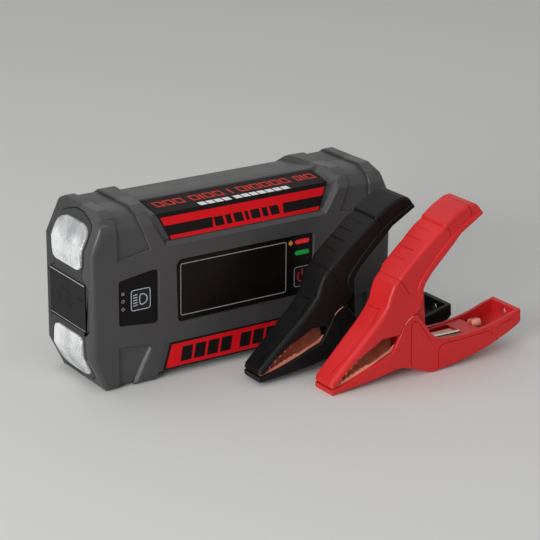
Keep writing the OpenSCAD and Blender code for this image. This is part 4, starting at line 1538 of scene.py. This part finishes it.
# ---- studio
@dataclass
class Studio:
    """Camera, floor and soft light. None of it belongs to the object."""
    lens: float = 131.67
    # place in metres, and turn in degrees
    camera_at: Place = (-0.6468, -1.0183, 0.4822)
    camera_turn: Place = (70.4191, -0.5267, -33.6887)
    shift_y: float = -0.0028
    fill: float = 0.42
    # each lamp's name, place and size in metres, and power in watts
    lamps: ClassVar[tuple] = (
        ("overhead_softbox", (-0.5, 0.15, 1.5), (1.5, 1.1), 3.9),
        ("left_softbox", (-1.65, -0.85, 0.6), (0.9, 0.9), 28.0))
    aim: Place = (0.03, -0.05, 0.05)

    def build(self) -> None:
        """Set up the camera, the floor, the world and the lamps."""
        scene = bpy.context.scene
        scene.view_settings.view_transform = "Standard"
        only()
        bpy.ops.object.camera_add(location=self.camera_at,
                                  rotation=[radians(a) for a in self.camera_turn])
        camera = bpy.context.object
        camera.name = "camera"
        camera.data.lens = self.lens
        camera.data.sensor_width = 36.0
        camera.data.shift_y = self.shift_y
        camera.data.clip_start, camera.data.clip_end = 0.01, 50.0
        scene.camera = camera
        self.floor()
        self.world()
        for lamp in self.lamps:
            self.softbox(*lamp)

    def floor(self) -> None:
        """Lay the pale floor."""
        only()
        bpy.ops.mesh.primitive_plane_add(size=14.0, location=(0, 0, 0))
        piece = bpy.context.object
        piece.name = "floor"
        made = bpy.data.materials.new("pale_floor")
        made.use_nodes = True
        for socket, value in (("Base Color", linear("d9d9d7")), ("Roughness", 0.7),
                              ("Specular IOR Level", 0.2)):
            made.node_tree.nodes[SHADER].inputs[socket].default_value = value
        piece.data.materials.append(made)

    def world(self) -> None:
        """Light the scene evenly, and show a pale backdrop to camera and gloss."""
        world = bpy.data.worlds.new("studio")
        bpy.context.scene.world = world
        world.use_nodes = True
        tree = world.node_tree
        tree.nodes.clear()
        ray = add_node(tree, "LightPath")
        direct = add_node(tree, "Math", {"operation": "MAXIMUM"},
                          {0: (ray, "Is Camera Ray"), 1: (ray, "Is Transmission Ray")})
        seen = add_node(tree, "Math", {"operation": "MAXIMUM"},
                        {0: (direct, "Value"), 1: (ray, "Is Glossy Ray")})
        lit = add_node(tree, "Background", {"Color": (1, 1, 1, 1),
                                            "Strength": self.fill})
        shown = add_node(tree, "Background", {"Color": linear("e2e2e0"),
                                              "Strength": 1.0})
        both = add_node(tree, "MixShader", links={
            0: (seen, "Value"), 1: (lit, "Background"), 2: (shown, "Background")})
        add_node(tree, "OutputWorld", links={"Surface": (both, "Shader")})

    def softbox(self, name: str, place: Place, size: Point, power: float) -> None:
        """Add one soft lamp that faces the object.

        Args:
            name: the lamp's name.
            place: its place, in metres.
            size: its width and height, in metres.
            power: its power, in watts.
        """
        only()
        bpy.ops.object.light_add(type="AREA", location=place)
        lamp = bpy.context.object
        lamp.name = name
        lamp.data.shape = "RECTANGLE"
        lamp.data.size, lamp.data.size_y = size
        lamp.data.energy = power
        lamp.rotation_euler = (Vector(self.aim) - lamp.location
                               ).to_track_quat("-Z", "Y").to_euler()


def main() -> None:
    """Build the studio and every sub-assembly in order."""
    logging.basicConfig(level=logging.INFO, format="%(name)s: %(message)s")
    Studio().build()
    for assembly in (PackCase(), LampEnd(), DisplaySide(), Labels(), Inside(),
                     Clamp(ClampColour.RED, (75.7, -100.0, 0.0)),
                     Clamp(ClampColour.BLACK, (46.1, -64.2, 0.0), tilt=1.8)):
        log.info("building %s", type(assembly).__name__)
        assembly.build()
    only()


if __name__ == "__main__":
    main()
